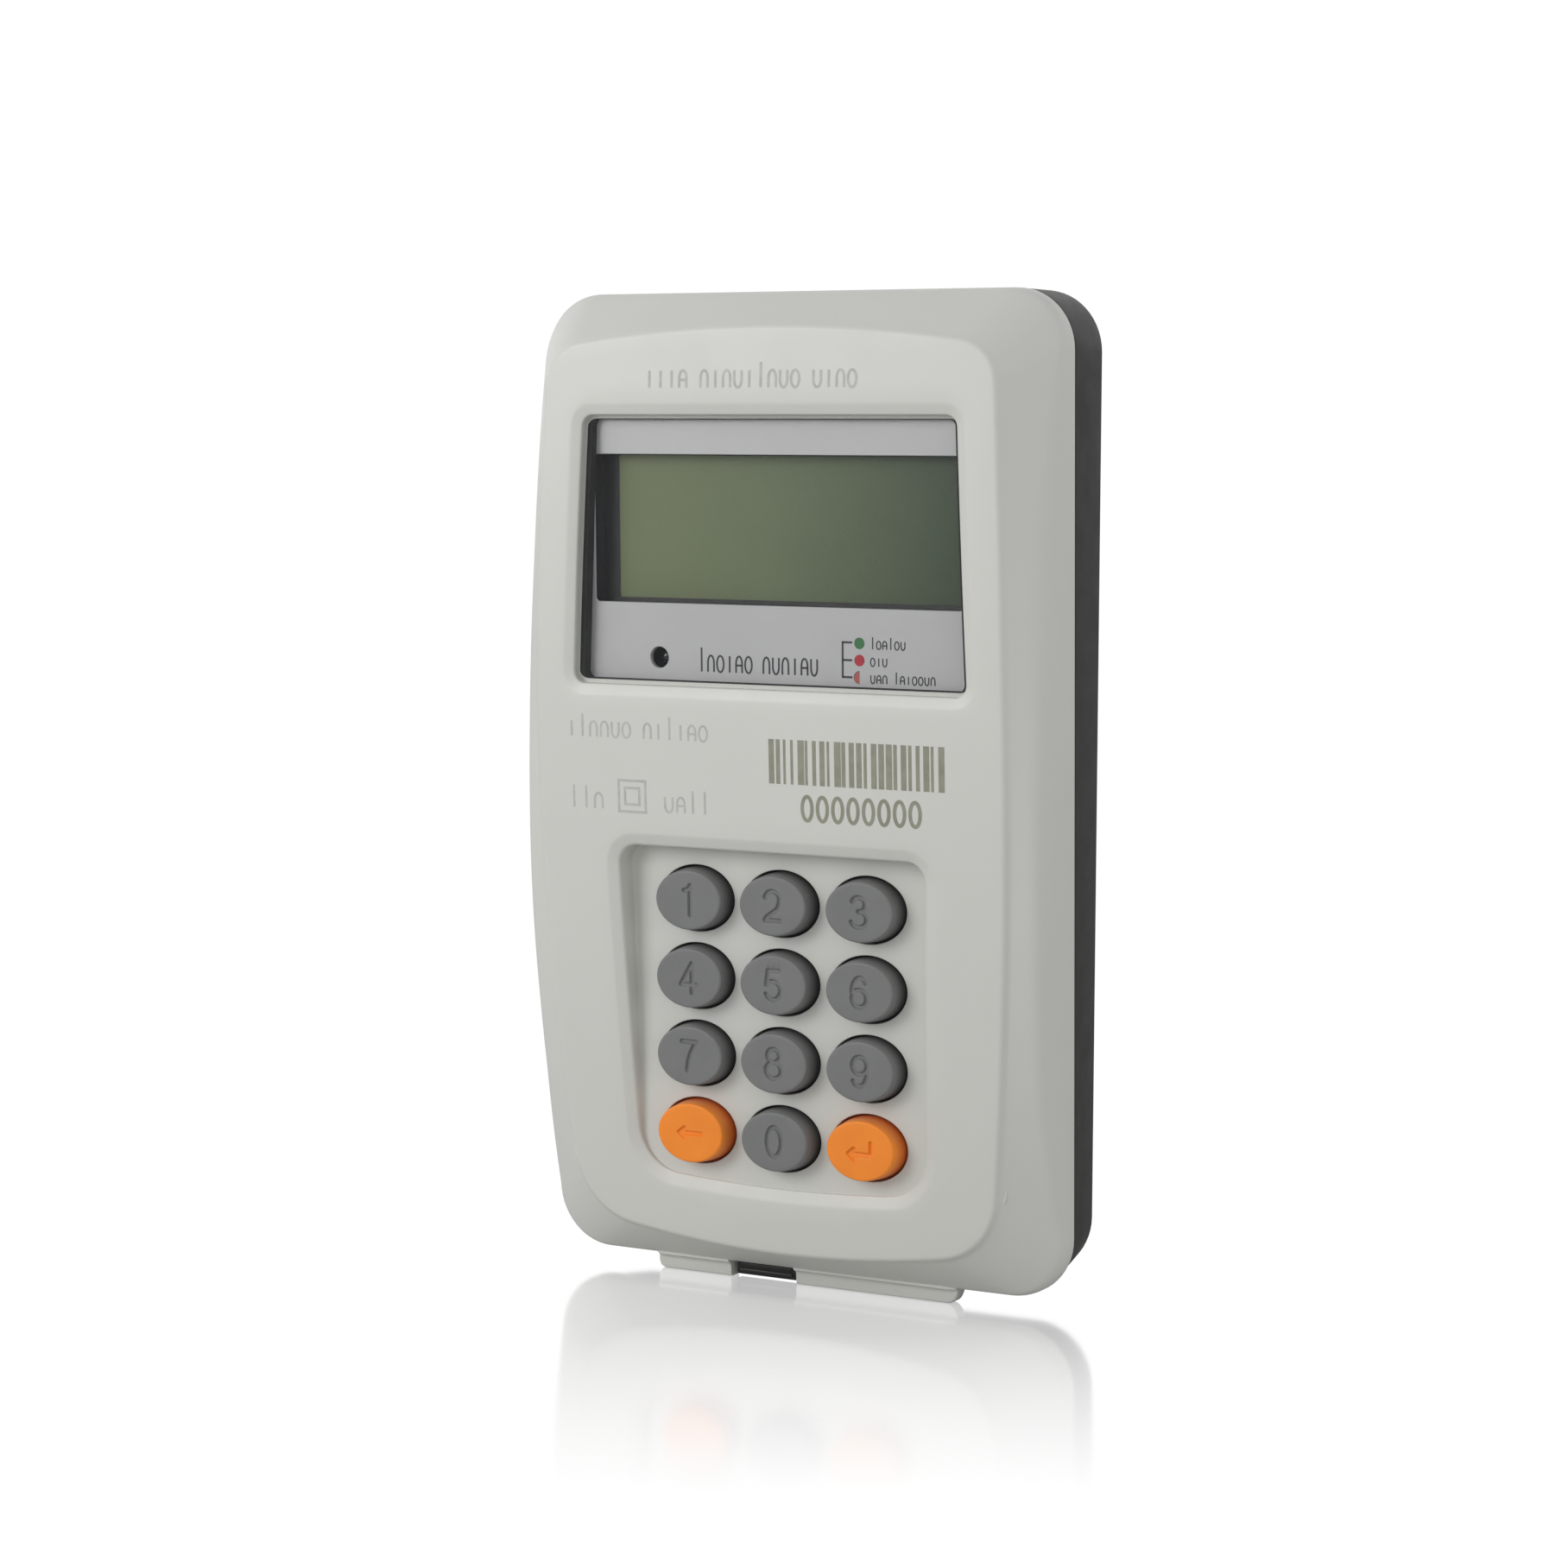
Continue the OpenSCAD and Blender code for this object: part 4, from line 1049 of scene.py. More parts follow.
dress(brass, "terminal_clamps")
spring_steel = moulded("spring_steel", (0.50, 0.50, 0.51), vary=0.06, rough=0.28, rough_vary=0.08,
                       grain_mm=0.12, patch_mm=2, metal=1.0)
spring = Skin()
bow = [(-10.2 + i * 0.375, -68.5 + 2.75 * math.sin(i * math.pi / 16)) for i in range(17)]
edge = np.array([(x, z) for x, z in bow] + [(x, z + 0.24) for x, z in bow[::-1]])
spring.loft(rounded_run([at_depth(grown(edge, -0.03), -7.4), at_depth(edge, -7.37),
                         at_depth(edge, -5.23), at_depth(grown(edge, -0.03), -5.2)], [0.02, 0.02], 2),
            cap_first=True, cap_last=True)
made = piece("bowed_spring", spring, spring_steel, "wall_base", 30)
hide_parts("latch_spring")
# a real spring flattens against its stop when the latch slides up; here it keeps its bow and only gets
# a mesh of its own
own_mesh(made)

# ---- Screws --------------------------------------------------------------------------
# Zinc-plated steel screws: slotted ones hold the cable's cores and its grip, and six
# cross-head ones fix the board to the front shell. Each has a rolled thread.

screw, given, result = node_group(
    "screw", ["Head Radius", "Head Height", "Shank Radius", "Shank Length", "Slot Width",
              "Slot Length", "Cross", "Facing"])
places = screw.interface.new_socket("Places", in_out="INPUT", socket_type="NodeSocketGeometry")
screw.interface.move(places, 0)


def moved(group, shape, x=0.0, y=0.0, z=0.0, size=None):
    """A shape shifted, and stretched if sizes are given; each value is a number or a socket."""
    shift = group.nodes.new("GeometryNodeTransform")
    group.links.new(shape, shift.inputs["Geometry"])
    for label, values in (("Translation", (x, y, z)), ("Scale", size)):
        if values is None:
            continue
        three = group.nodes.new("ShaderNodeCombineXYZ")
        for slot_in, value in zip(three.inputs, values):
            if isinstance(value, (int, float)):
                slot_in.default_value = value
            else:
                group.links.new(value, slot_in)
        group.links.new(three.outputs[0], shift.inputs[label])
    return shift.outputs["Geometry"]


def cone(group, low_r, high_r, height, sides=28):
    """A round frustum standing on the origin; each size is a number or a socket."""
    made = group.nodes.new("GeometryNodeMeshCone")
    made.inputs["Vertices"].default_value = sides
    for label, value in (("Radius Bottom", low_r), ("Radius Top", high_r), ("Depth", height)):
        if isinstance(value, (int, float)):
            made.inputs[label].default_value = value
        else:
            group.links.new(value, made.inputs[label])
    return made.outputs["Mesh"]


def gathered(group, *shapes):
    """Several shapes as one."""
    join = group.nodes.new("GeometryNodeJoinGeometry")
    for shape in shapes:
        group.links.new(shape, join.inputs["Geometry"])
    return join.outputs["Geometry"]


head_height = given.outputs["Head Height"]
head = cone(screw, given.outputs["Head Radius"],
            calculation(screw, "MULTIPLY", given.outputs["Head Radius"], 0.8), head_height)
cube = screw.nodes.new("GeometryNodeMeshCube")
cube.inputs["Size"].default_value = (1, 1, 1)
slot_size = (given.outputs["Slot Length"], given.outputs["Slot Width"], head_height)
across = calculation(screw, "MULTIPLY", given.outputs["Slot Length"], given.outputs["Cross"])
across = calculation(screw, "MAXIMUM", across, given.outputs["Slot Width"])
slot_high = calculation(screw, "MULTIPLY", head_height, 1.05)
cut = screw.nodes.new("GeometryNodeMeshBoolean")
cut.operation = "DIFFERENCE"
cut.solver = "EXACT"
screw.links.new(head, cut.inputs["Mesh 1"])
screw.links.new(moved(screw, cube.outputs["Mesh"], z=slot_high, size=slot_size), cut.inputs["Mesh 2"])
screw.links.new(moved(screw, cube.outputs["Mesh"], z=slot_high,
                      size=(given.outputs["Slot Width"], across, head_height)), cut.inputs["Mesh 2"])
shank_length = given.outputs["Shank Length"]
shank = cone(screw, calculation(screw, "MULTIPLY", given.outputs["Shank Radius"], 0.78),
             calculation(screw, "MULTIPLY", given.outputs["Shank Radius"], 0.88), shank_length)
shank = moved(screw, shank, z=calculation(screw, "MULTIPLY", shank_length, -1))
thread = screw.nodes.new("GeometryNodeCurveSpiral")
thread.inputs["Resolution"].default_value = 16
thread_pitch = 0.55
turns = calculation(screw, "DIVIDE", shank_length, thread_pitch * MM)
screw.links.new(turns, thread.inputs["Rotations"])
for label in ("Start Radius", "End Radius"):
    screw.links.new(calculation(screw, "MULTIPLY", given.outputs["Shank Radius"], 0.86),
                    thread.inputs[label])
screw.links.new(calculation(screw, "MULTIPLY", shank_length, -0.96), thread.inputs["Height"])
ridge = screw.nodes.new("GeometryNodeCurvePrimitiveCircle")
ridge.inputs["Resolution"].default_value = 4
screw.links.new(calculation(screw, "MULTIPLY", given.outputs["Shank Radius"], 0.13),
                ridge.inputs["Radius"])
rolled = screw.nodes.new("GeometryNodeCurveToMesh")
rolled.inputs["Fill Caps"].default_value = True
screw.links.new(thread.outputs["Curve"], rolled.inputs["Curve"])
screw.links.new(ridge.outputs["Curve"], rolled.inputs["Profile Curve"])
lay = screw.nodes.new("GeometryNodeInstanceOnPoints")
screw.links.new(given.outputs["Places"], lay.inputs["Points"])
screw.links.new(gathered(screw, cut.outputs["Mesh"], shank, rolled.outputs["Mesh"]),
                lay.inputs["Instance"])
turn = screw.nodes.new("ShaderNodeCombineXYZ")
screw.links.new(calculation(screw, "MULTIPLY", given.outputs["Facing"], math.pi / 2), turn.inputs["X"])
screw.links.new(turn.outputs[0], lay.inputs["Rotation"])
real = screw.nodes.new("GeometryNodeRealizeInstances")
screw.links.new(lay.outputs["Instances"], real.inputs["Geometry"])
plated = screw.nodes.new("GeometryNodeSetMaterial")
zinc = moulded("zinc_plate", (0.60, 0.61, 0.62), vary=0.06, rough=0.34, rough_vary=0.1, grain_mm=0.15,
               patch_mm=2, metal=1.0)
plated.inputs["Material"].default_value = zinc
screw.links.new(real.outputs["Geometry"], plated.inputs["Geometry"])
screw.links.new(plated.outputs["Geometry"], result.inputs["Geometry"])


def screws(name, node, body, points, head_r, head_t, shank_r, length, slot_w, slot_l, cross, facing):
    """A set of like screws in place of a CAD node."""
    made = grown_by_nodes(
        name, screw, {"Head Radius": head_r * MM, "Head Height": head_t * MM,
                      "Shank Radius": shank_r * MM, "Shank Length": length * MM,
                      "Slot Width": slot_w * MM, "Slot Length": slot_l * MM,
                      "Cross": cross, "Facing": facing}, zinc, body, 30, points)
    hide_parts(node)


board_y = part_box("main_pcb")[1].y / MM
board_screws = [(x, board_y + 0.01, z) for x, z in screw_places]
screws("core_screws", "terminal_screws", "wall_base", [(x, -7.4, -56) for x in terminal_x],
       1.9, 1.2, 1.25, 1.7, 0.7, 4.2, 0.0, 1.0)
screws("grip_screws", "clamp_screws", "wall_base", [(x, -7.41, -19) for x in (-10, 10)],
       2.4, 1.28, 1.05, 4.2, 0.7, 5.2, 0.0, 1.0)
screws("board_screws", "pcb_screws", "front_unit", board_screws, 2.4, 1.38, 1.1, 6.0, 0.6, 3.0,
       1.0, -1.0)

# ---- Display stack -------------------------------------------------------------------
# A black nylon holder keeps the two display glasses, the light guide and the striped rubber
# connector against the board. A nylon spacer sets the height of the status light.

dress(black_nylon, "lcd_holder")
pressed_glass = moulded("display_glass_finish", (0.30, 0.36, 0.27), vary=0.04, rough=0.12,
                        rough_vary=0.05, grain_mm=0.1, grain_deep=0.001, patch_mm=12, coat=0.5)
dress(pressed_glass, "lcd_front_glass", "lcd_rear_glass")
guide = moulded("milky_acrylic", (0.72, 0.76, 0.60), vary=0.05, rough=0.35, rough_vary=0.1,
                grain_mm=0.6, grain_deep=0.02, patch_mm=10)
dress(guide, "backlight")
white_nylon = moulded("natural_nylon", (0.62, 0.60, 0.53), vary=0.06, rough=0.5, patch_mm=3)
dress(white_nylon, "led_spacer")

striped, tree, shader = nodes_of("striped_rubber")
place = tree.nodes.new("ShaderNodeTexCoord")
stripes = tree.nodes.new("ShaderNodeTexWave")
stripes.inputs["Scale"].default_value = 260
stripes.inputs["Distortion"].default_value = 0.3
tree.links.new(place.outputs["Object"], stripes.inputs["Vector"])
tree.links.new(ramp(tree, stripes.outputs["Fac"], [(0.45, (0.02, 0.02, 0.02)),
                                                   (0.55, (0.45, 0.42, 0.4))]),
               shader.inputs["Base Color"])
tree.links.new(ramp(tree, noise(tree, 0.5, 2), [(0.3, (0.6, 0.6, 0.6)), (0.7, (0.8, 0.8, 0.8))]),
               shader.inputs["Roughness"])
dress(striped, "zebra_strip")

# ---- Keypad mat ----------------------------------------------------------------------
# A grey silicone sheet with a ring round each key, laid on the board's contacts. Hard
# carbon pills under the key stems close the contacts.

mat_rubber = moulded("mat_silicone", (0.25, 0.255, 0.255), vary=0.05, rough=0.62, grain_deep=0.01,
                     patch_mm=12, sheen=0.1)
dress(mat_rubber, "keypad_mat")
carbon = moulded("pressed_carbon", (0.012, 0.012, 0.012), vary=0.25, rough=0.72, rough_vary=0.1,
                 grain_mm=0.2, grain_deep=0.02, patch_mm=1)
dress(carbon, *["pill_" + name[4:] for name in key_names])

# ---- Circuit board -------------------------------------------------------------------
# Glass-fibre board under green solder mask, with copper tracks showing through it and white
# printed outlines. Small surface-mounted parts are soldered round the two chips.

board_green, tree, shader = nodes_of("green_solder_mask")
weave = tree.nodes.new("ShaderNodeTexBrick")
weave.inputs["Scale"].default_value = 900
weave.inputs["Color1"].default_value = (0.020, 0.115, 0.045, 1)
weave.inputs["Color2"].default_value = (0.026, 0.135, 0.052, 1)
weave.inputs["Mortar"].default_value = (0.017, 0.095, 0.038, 1)
place = tree.nodes.new("ShaderNodeTexCoord")
flip = tree.nodes.new("ShaderNodeMapping")
flip.inputs["Rotation"].default_value = (math.pi / 2, 0, 0)
tree.links.new(place.outputs["Object"], flip.inputs["Vector"])
tree.links.new(flip.outputs["Vector"], weave.inputs["Vector"])
tree.links.new(weave.outputs["Color"], shader.inputs["Base Color"])
tree.links.new(ramp(tree, noise(tree, 14, 3), [(0.3, (0.26, 0.26, 0.26)), (0.7, (0.4, 0.4, 0.4))]),
               shader.inputs["Roughness"])
bump = tree.nodes.new("ShaderNodeBump")
bump.inputs["Distance"].default_value = 0.01 * MM
tree.links.new(weave.outputs["Fac"], bump.inputs["Height"])
tree.links.new(bump.outputs["Normal"], shader.inputs["Normal"])
dress(board_green, "main_pcb")

track_green = moulded("masked_copper", (0.045, 0.20, 0.075), vary=0.08, rough=0.32, grain_mm=0.2,
                      patch_mm=5)
tracks = Skin()
routes = [[(13.6, 30 + 0.9 * i), (9 - 0.9 * i, 30 + 0.9 * i), (9 - 0.9 * i, 8 + 0.9 * i),
           (4 - 0.9 * i, 3 + 0.9 * i), (4 - 0.9 * i, -38)] for i in range(8)]
routes += [[(-13, 29 + 1.27 * i), (-9 + 0.6 * i, 29 + 1.27 * i), (-9 + 0.6 * i, 44 + 0.5 * i),
            (14 + 0.5 * i, 44 + 0.5 * i), (16.5 + 0.9 * i, 41.5), (16.5 + 0.9 * i, 39.6)]
           for i in range(8)]
routes += [[(-22, 18 + 1.2 * i), (-14 + i, 18 + 1.2 * i), (-11 + i, 21 + 1.2 * i), (-11 + i, 27)]
           for i in range(3)]
routes += [[(23, -37), (23, -30 + 2 * i), (14 + 2 * i, -22), (14 + 2 * i, 2)] for i in range(2)]
routes += [[(-26, -45), (-26, -38), (-22, -34)], [(-30, -15), (-30, -6)], [(-27, -15), (-27, -6)],
           [(16, -55), (4, -55), (-20, -52)], [(-25, 2), (-18, 6), (12, 6), (18, -2)]]
for route in routes:
    for a, b in zip(route, route[1:]):
        ribbon(tracks, [a, b], 0.42, lambda x, z: board_y)
made = piece("board_tracks", tracks, track_green, "front_unit")

outlines = Skin()
outline_boxes = [((-35, 11), (-21, 25)), ((-37, -33.5), (-17, -14.5)), ((15.2, -62.8), (31.8, -47.7)),
                 ((17, -43.6), (35, -36.4)), ((18, -22), (32.2, 1)), ((-35, -6), (-25, 3)),
                 ((14, 21.2), (26, 26.8)), ((-10, -46.4), (10, -39.6))]
for (x0, z0), (x1, z1) in outline_boxes:
    ribbon(outlines, [(x0, z0), (x1, z0), (x1, z1), (x0, z1)], 0.2, lambda x, z: board_y + 0.01,
           closed=True)
for x, z, r in ((0, 50, 6.8), (-26, -50, 5.8)):
    ribbon(outlines, arc(x, z, r, r, 0, 350, 36), 0.2, lambda x, z: board_y + 0.01, closed=True)
made = piece("board_outlines", outlines, ink("white_board_ink", (0.72, 0.72, 0.68), 0.5), "front_unit")

small, given, result = node_group("small_parts", ["Length", "Width", "Height", "End"])
places = small.interface.new_socket("Places", in_out="INPUT", socket_type="NodeSocketGeometry")
small.interface.move(places, 0)
cube = small.nodes.new("GeometryNodeMeshCube")
cube.inputs["Size"].default_value = (1, 1, 1)
half_length = calculation(small, "MULTIPLY", given.outputs["Length"], 0.5)
middle = calculation(small, "MULTIPLY", given.outputs["Height"], 0.46)
length_inside = calculation(small, "SUBTRACT", given.outputs["Length"], given.outputs["End"])
core = moved(small, cube.outputs["Mesh"], y=middle,
             size=(length_inside, calculation(small, "MULTIPLY", given.outputs["Height"], 0.9),
                   calculation(small, "MULTIPLY", given.outputs["Width"], 0.9)))
caps = [moved(small, cube.outputs["Mesh"], x=calculation(small, "MULTIPLY", half_length, side),
              y=calculation(small, "MULTIPLY", given.outputs["Height"], 0.5),
              size=(given.outputs["End"], given.outputs["Height"], given.outputs["Width"]))
        for side in (-1.0, 1.0)]
ceramic_black = moulded("fired_ceramic", (0.05, 0.045, 0.042), vary=0.2, rough=0.5, patch_mm=2)
tin = moulded("tinned_copper", (0.62, 0.62, 0.61), vary=0.08, rough=0.3, rough_vary=0.1,
              grain_mm=0.15, patch_mm=1.5, metal=1.0)
painted = []
for shapes, finish in (([core], ceramic_black), (caps, tin)):
    lay = small.nodes.new("GeometryNodeInstanceOnPoints")
    small.links.new(given.outputs["Places"], lay.inputs["Points"])
    small.links.new(gathered(small, *shapes), lay.inputs["Instance"])
    real = small.nodes.new("GeometryNodeRealizeInstances")
    small.links.new(lay.outputs["Instances"], real.inputs["Geometry"])
    coat = small.nodes.new("GeometryNodeSetMaterial")
    coat.inputs["Material"].default_value = finish
    small.links.new(real.outputs["Geometry"], coat.inputs["Geometry"])
    painted.append(coat.outputs["Geometry"])
small.links.new(gathered(small, *painted), result.inputs["Geometry"])
part_places = [(x, board_y + 0.02, z) for x, z in
               [(11, 33), (11, 36), (29.5, 31), (29.5, 34), (29.5, 37), (-9.5, 32), (-9.5, 35),
                (-27, 30), (-27, 33), (-27, 36), (-27, 39), (-6, -35), (-2, -35), (2, -35),
                (6, -35), (11, -6), (11, -9), (11, -12), (11, -15), (-20, 2), (-20, -1),
                (-20, -4), (-16, -24), (-14, -58), (-10, -58), (6, -51), (10, -51), (12, 52),
                (12, 55), (-12, 52), (29, 14), (29, 17), (16, 14), (16, 17)]]
made = grown_by_nodes("surface_parts", small, {"Length": 1.9 * MM, "Width": 1.1 * MM,
                                               "Height": 0.55 * MM, "End": 0.4 * MM},
                      None, "front_unit", 30, part_places)

# ---- Chips and crystal ---------------------------------------------------------------
# Two moulded epoxy chips on bent tinned legs, and a quartz crystal in a drawn steel can.

epoxy = moulded("moulded_epoxy", (0.020, 0.020, 0.021), vary=0.15, rough=0.62, grain_mm=0.15,
                grain_deep=0.01, patch_mm=3, specular=0.4)
leg_shape = [(0.0, 0.55), (0.35, 0.55), (0.5, 0.1), (0.85, 0.1)]
legs = Skin()
for node, name, cx, cz, w, h, t, count, pitch in (
        ("microcontroller", "control_chip", 20, 34, 10, 10, 1.5, 10, 0.9),
        ("modem_chip", "line_modem_chip", -18, 34, 7.6, 12, 2.2, 9, 1.27)):
    chip = Skin()
    chip.block((cx - w / 2, board_y + 0.12, cz - h / 2), (cx + w / 2, board_y + t, cz + h / 2), 0.16)
    dimple = Skin()
    dimple.turned((cx - w / 2 + 1.2, cz + h / 2 - 1.2),
                  [(0, board_y + t - 0.08), (0.45, board_y + t - 0.08), (0.5, board_y + t + 0.5),
                   (0, board_y + t + 0.5)], 24)
    made = piece(name, without(chip.mesh(name), dimple), epoxy, "front_unit")
    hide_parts(node)
    for side in (-1, 1):
        for i in range(count):
            z = cz + (i - (count - 1) / 2) * pitch
            line = [(cx + side * (w / 2 - 0.05 + out), board_y + up) for out, up in leg_shape]
            points, faces = [], []
            for x, y in line:
                points += [(x, y - 0.06, z - 0.2), (x, y + 0.06, z - 0.2), (x, y + 0.06, z + 0.2),
                           (x, y - 0.06, z + 0.2)]
            for k in range(len(line) - 1):
                faces += [(4 * k + j, 4 * k + (j + 1) % 4, 4 * k + 4 + (j + 1) % 4, 4 * k + 4 + j)
                          for j in range(4)]
            faces += [(3, 2, 1, 0), tuple(4 * (len(line) - 1) + j for j in range(4))]
            legs.add(points, faces)
made = piece("chip_legs", legs, tin, "front_unit")

can = Skin()
can_loop = outline(lambda z: 5.25, lambda x: 2.0, lambda x: -2.0, 1.98, 1.98, 8, 12, 10)
can_loop = can_loop + (20, 24)
can.loft(rounded_run([at_depth(can_loop, board_y), at_depth(can_loop, board_y + 0.45),
                      at_depth(grown(can_loop, -0.35), board_y + 0.5),
                      at_depth(grown(can_loop, -0.35), board_y + 3.4),
                      at_depth(grown(can_loop, -1.4), board_y + 3.4)], [0.1, 0.05, 0.5], 5),
         cap_first=True, cap_last=True)
made = piece("crystal_can", can, spring_steel, "front_unit")
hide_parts("crystal")

# ---- Wound parts ---------------------------------------------------------------------
# Two small transformers: a nylon bobbin on the board, a taped winding, and a ferrite core
# clamped round it.

ferrite = moulded("sintered_ferrite", (0.035, 0.034, 0.036), vary=0.2, rough=0.6, grain_mm=0.4,
                  grain_deep=0.02, patch_mm=2)
for node, name, cx, cz, w, h, t, tape_colour in (
        ("coupling_transformer", "coupling_coil", -28, 18, 12, 12, 6.5, (0.10, 0.10, 0.30)),
        ("supply_transformer", "supply_coil", -27, -24, 18, 17, 8, (0.62, 0.44, 0.05))):
    core = Skin()
    core.block((cx - w * 0.3, board_y + 1.2, cz - h * 0.46), (cx + w * 0.3, board_y + t, cz + h * 0.46),
               0.3)
    gap = Skin()
    gap.block((cx - w * 0.4, board_y + t - 0.3, cz - 0.1),
              (cx + w * 0.4, board_y + t + 1, cz + 0.1), 0.02)
    made = piece(name + "_core", without(core.mesh(name), gap), ferrite, "front_unit")
    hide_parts(node)
    base = Skin()
    base.block((cx - w / 2, board_y + 0.02, cz - h / 2), (cx + w / 2, board_y + 1.15, cz + h / 2), 0.25)
    made = piece(name + "_base", base, black_nylon, "front_unit")
    winding = Skin()
    wrap_loop = outline(lambda z: w / 2 - 0.3, lambda x: t * 0.86 - 0.15, lambda x: 1.4, 1.2, 1.2,
                        6, 8, 10)
    layers = [(-h * 0.3, -0.25), (-h * 0.3, 0), (h * 0.26, 0), (h * 0.27, -0.2), (h * 0.3, -0.25)]
    winding.loft([np.array([(x + cx, board_y + y, cz + z) for x, y in grown(wrap_loop, shrink)])
                  for z, shrink in layers], cap_first=True, cap_last=True)
    tape = moulded(name + "_tape", tape_colour, vary=0.06, rough=0.3, grain_mm=0.5,
                   grain_deep=0.02, patch_mm=4, coat=0.2)
    made = piece(name + "_winding", winding, tape, "front_unit")

# ---- Power parts ---------------------------------------------------------------------
# The mains side of the board: a boxed filter capacitor, a blue varistor disc, a ceramic
# fuse in two spring clips, two electrolytic capacitors and a bridge rectifier.

box = Skin()
box.block((16, board_y + 0.02, -62), (31, board_y + 7.4, -48.5), 0.55)
yellow = moulded("capacitor_resin", (0.60, 0.38, 0.05), vary=0.05, rough=0.45, patch_mm=9)
made = piece("boxed_capacitor", box, yellow, "front_unit")
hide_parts("filter_capacitor")

disc_shape = Skin()
disc_shape.turned((-26, -50), [(0, board_y + 0.5), (3.4, board_y + 0.5), (4.6, board_y + 0.9),
                               (5, board_y + 1.7), (4.7, board_y + 2.6), (3.6, board_y + 3.15),
                               (0, board_y + 3.35)], 40)
blue_resin = moulded("varistor_resin", (0.025, 0.09, 0.24), vary=0.1, rough=0.35, grain_mm=0.8,
                     grain_deep=0.05, patch_mm=3, coat=0.2)
made = piece("varistor_disc", disc_shape, blue_resin, "front_unit")
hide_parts("varistor")

tube, ends = Skin(), Skin()
fuse_at = (board_y + 3, -40)
tube.turned(fuse_at, [(0, 22.2), (2.25, 22.2), (2.25, 29.8), (0, 29.8)], 32, True)
for x0, x1 in ((18, 22.6), (34, 29.4)):
    step = 0.3 if x1 > x0 else -0.3
    ends.turned(fuse_at, [(0, x0), (2.3, x0), (2.55, x0 + step), (2.55, x1 - step), (2.4, x1), (0, x1)],
                32, True)
    mid = (x0 + x1) / 2
    for z in (-42.58, -37.75):
        ends.block((mid - 1.4, board_y + 0.02, z), (mid + 1.4, board_y + 3.4, z + 0.35), 0.1)
fired = moulded("fuse_ceramic", (0.66, 0.62, 0.52), vary=0.04, rough=0.4, patch_mm=4)
made = piece("fuse_tube", tube, fired, "front_unit")
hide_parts("fuse")
made = piece("fuse_caps", ends, zinc, "front_unit")

sleeves, tops = Skin(), Skin()
for z in (-4, -17):
    at = (board_y + 4.2, z)
    sleeves.turned(at, [(0, 31), (3.5, 31), (3.95, 30.7), (4, 30.2), (4, 29.3), (3.7, 28.9),
                        (3.7, 28.6), (4, 28.2), (4, 19.5), (3.9, 19.15), (3.4, 19.05),
                        (3.3, 19.25), (0, 19.25)], 40, True)
    tops.turned(at, [(0, 19.12), (3.3, 19.12), (3.3, 19.6), (0, 19.6)], 40, True)
sleeve = moulded("shrink_sleeve", (0.022, 0.028, 0.085), vary=0.08, rough=0.3, grain_mm=1.0,
                 grain_deep=0.02, patch_mm=4, coat=0.2)
made = piece("capacitor_sleeves", sleeves, sleeve, "front_unit")
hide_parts("smoothing_capacitors")
made = piece("capacitor_tops", tops, spring_steel, "front_unit")

bridge = Skin()
bridge.block((-34, board_y + 0.3, -5), (-26, board_y + 3.2, 2), 0.35)
chamfer = Skin()
chamfer.turned((-34, 2), [(0, board_y - 1), (1.3, board_y - 1), (1.3, board_y + 5),
                          (0, board_y + 5)], 4)
made = piece("bridge_rectifier", without(bridge.mesh("bridge"), chamfer), epoxy, "front_unit")
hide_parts("rectifier")

# ---- Buzzer and docking plug ---------------------------------------------------------
# A round piezo buzzer with its sound hole, and the black nylon plug with four brass blades
# that goes into the docking socket when the halves are closed.

top = board_y + 5.5
sounder = Skin()
sounder.turned((0, 50), [(0, board_y + 0.02), (5.8, board_y + 0.02), (6, board_y + 0.2), (6, top - 1.2),
                         (5.8, top - 1.1), (5.8, top - 0.3), (5.5, top), (1.3, top), (1.0, top - 0.25),
                         (1.0, top - 1.4), (0, top - 1.4)], 48)
made = piece("buzzer_can", sounder, black_nylon, "front_unit")
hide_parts("buzzer")

plug = Skin()
plug.block((-9, board_y, -45.5), (9, -8.6, -40.5), 0.35)
made = piece("docking_plug", plug, black_nylon, "front_unit")
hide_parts("dock_pins")
blades = Skin()
for x in (-6, -2, 2, 6):
    square = np.array([(-1, -1), (1, -1), (1, 1), (-1, 1)])
    blades.loft([at_depth(square * r + (x, -43), y) for r, y in
                 ((0.4, -9), (0.4, -5.4), (0.18, -4.62))], cap_first=True, cap_last=True)
made = piece("docking_blades", blades, brass, "front_unit")

# ---- Floor, light and camera -------------------------------------------------------
# A glossy white table under the case, an even white surround, one large soft lamp high on
# the left in front, and a small one on the right.

table_half = 6
floor_mesh = bpy.data.meshes.new("floor")
floor_mesh.from_pydata([(x * table_half, y * table_half, flange_low * MM) for x, y in
                        [(-1, -1), (1, -1), (1, 1), (-1, 1)]], [], [(0, 1, 2, 3)])
floor = bpy.data.objects.new("floor", floor_mesh)
bpy.context.scene.collection.objects.link(floor)
floor_finish = bpy.data.materials.new("white_table")
floor_finish.use_nodes = True
tree = floor_finish.node_tree
tree.nodes.clear()
end = tree.nodes.new("ShaderNodeOutputMaterial")
path = tree.nodes.new("ShaderNodeLightPath")
seen_mix = tree.nodes.new("ShaderNodeMixShader")
dull = tree.nodes.new("ShaderNodeBsdfDiffuse")
dull.inputs["Color"].default_value = (0.62, 0.62, 0.62, 1)
gloss_mix = tree.nodes.new("ShaderNodeMixShader")
fresnel = tree.nodes.new("ShaderNodeFresnel")
fresnel.inputs["IOR"].default_value = 1.45
white = tree.nodes.new("ShaderNodeEmission")
white.inputs["Color"].default_value = (1, 1, 1, 1)
white.inputs["Strength"].default_value = 1.02
mirror = tree.nodes.new("ShaderNodeBsdfGlossy")
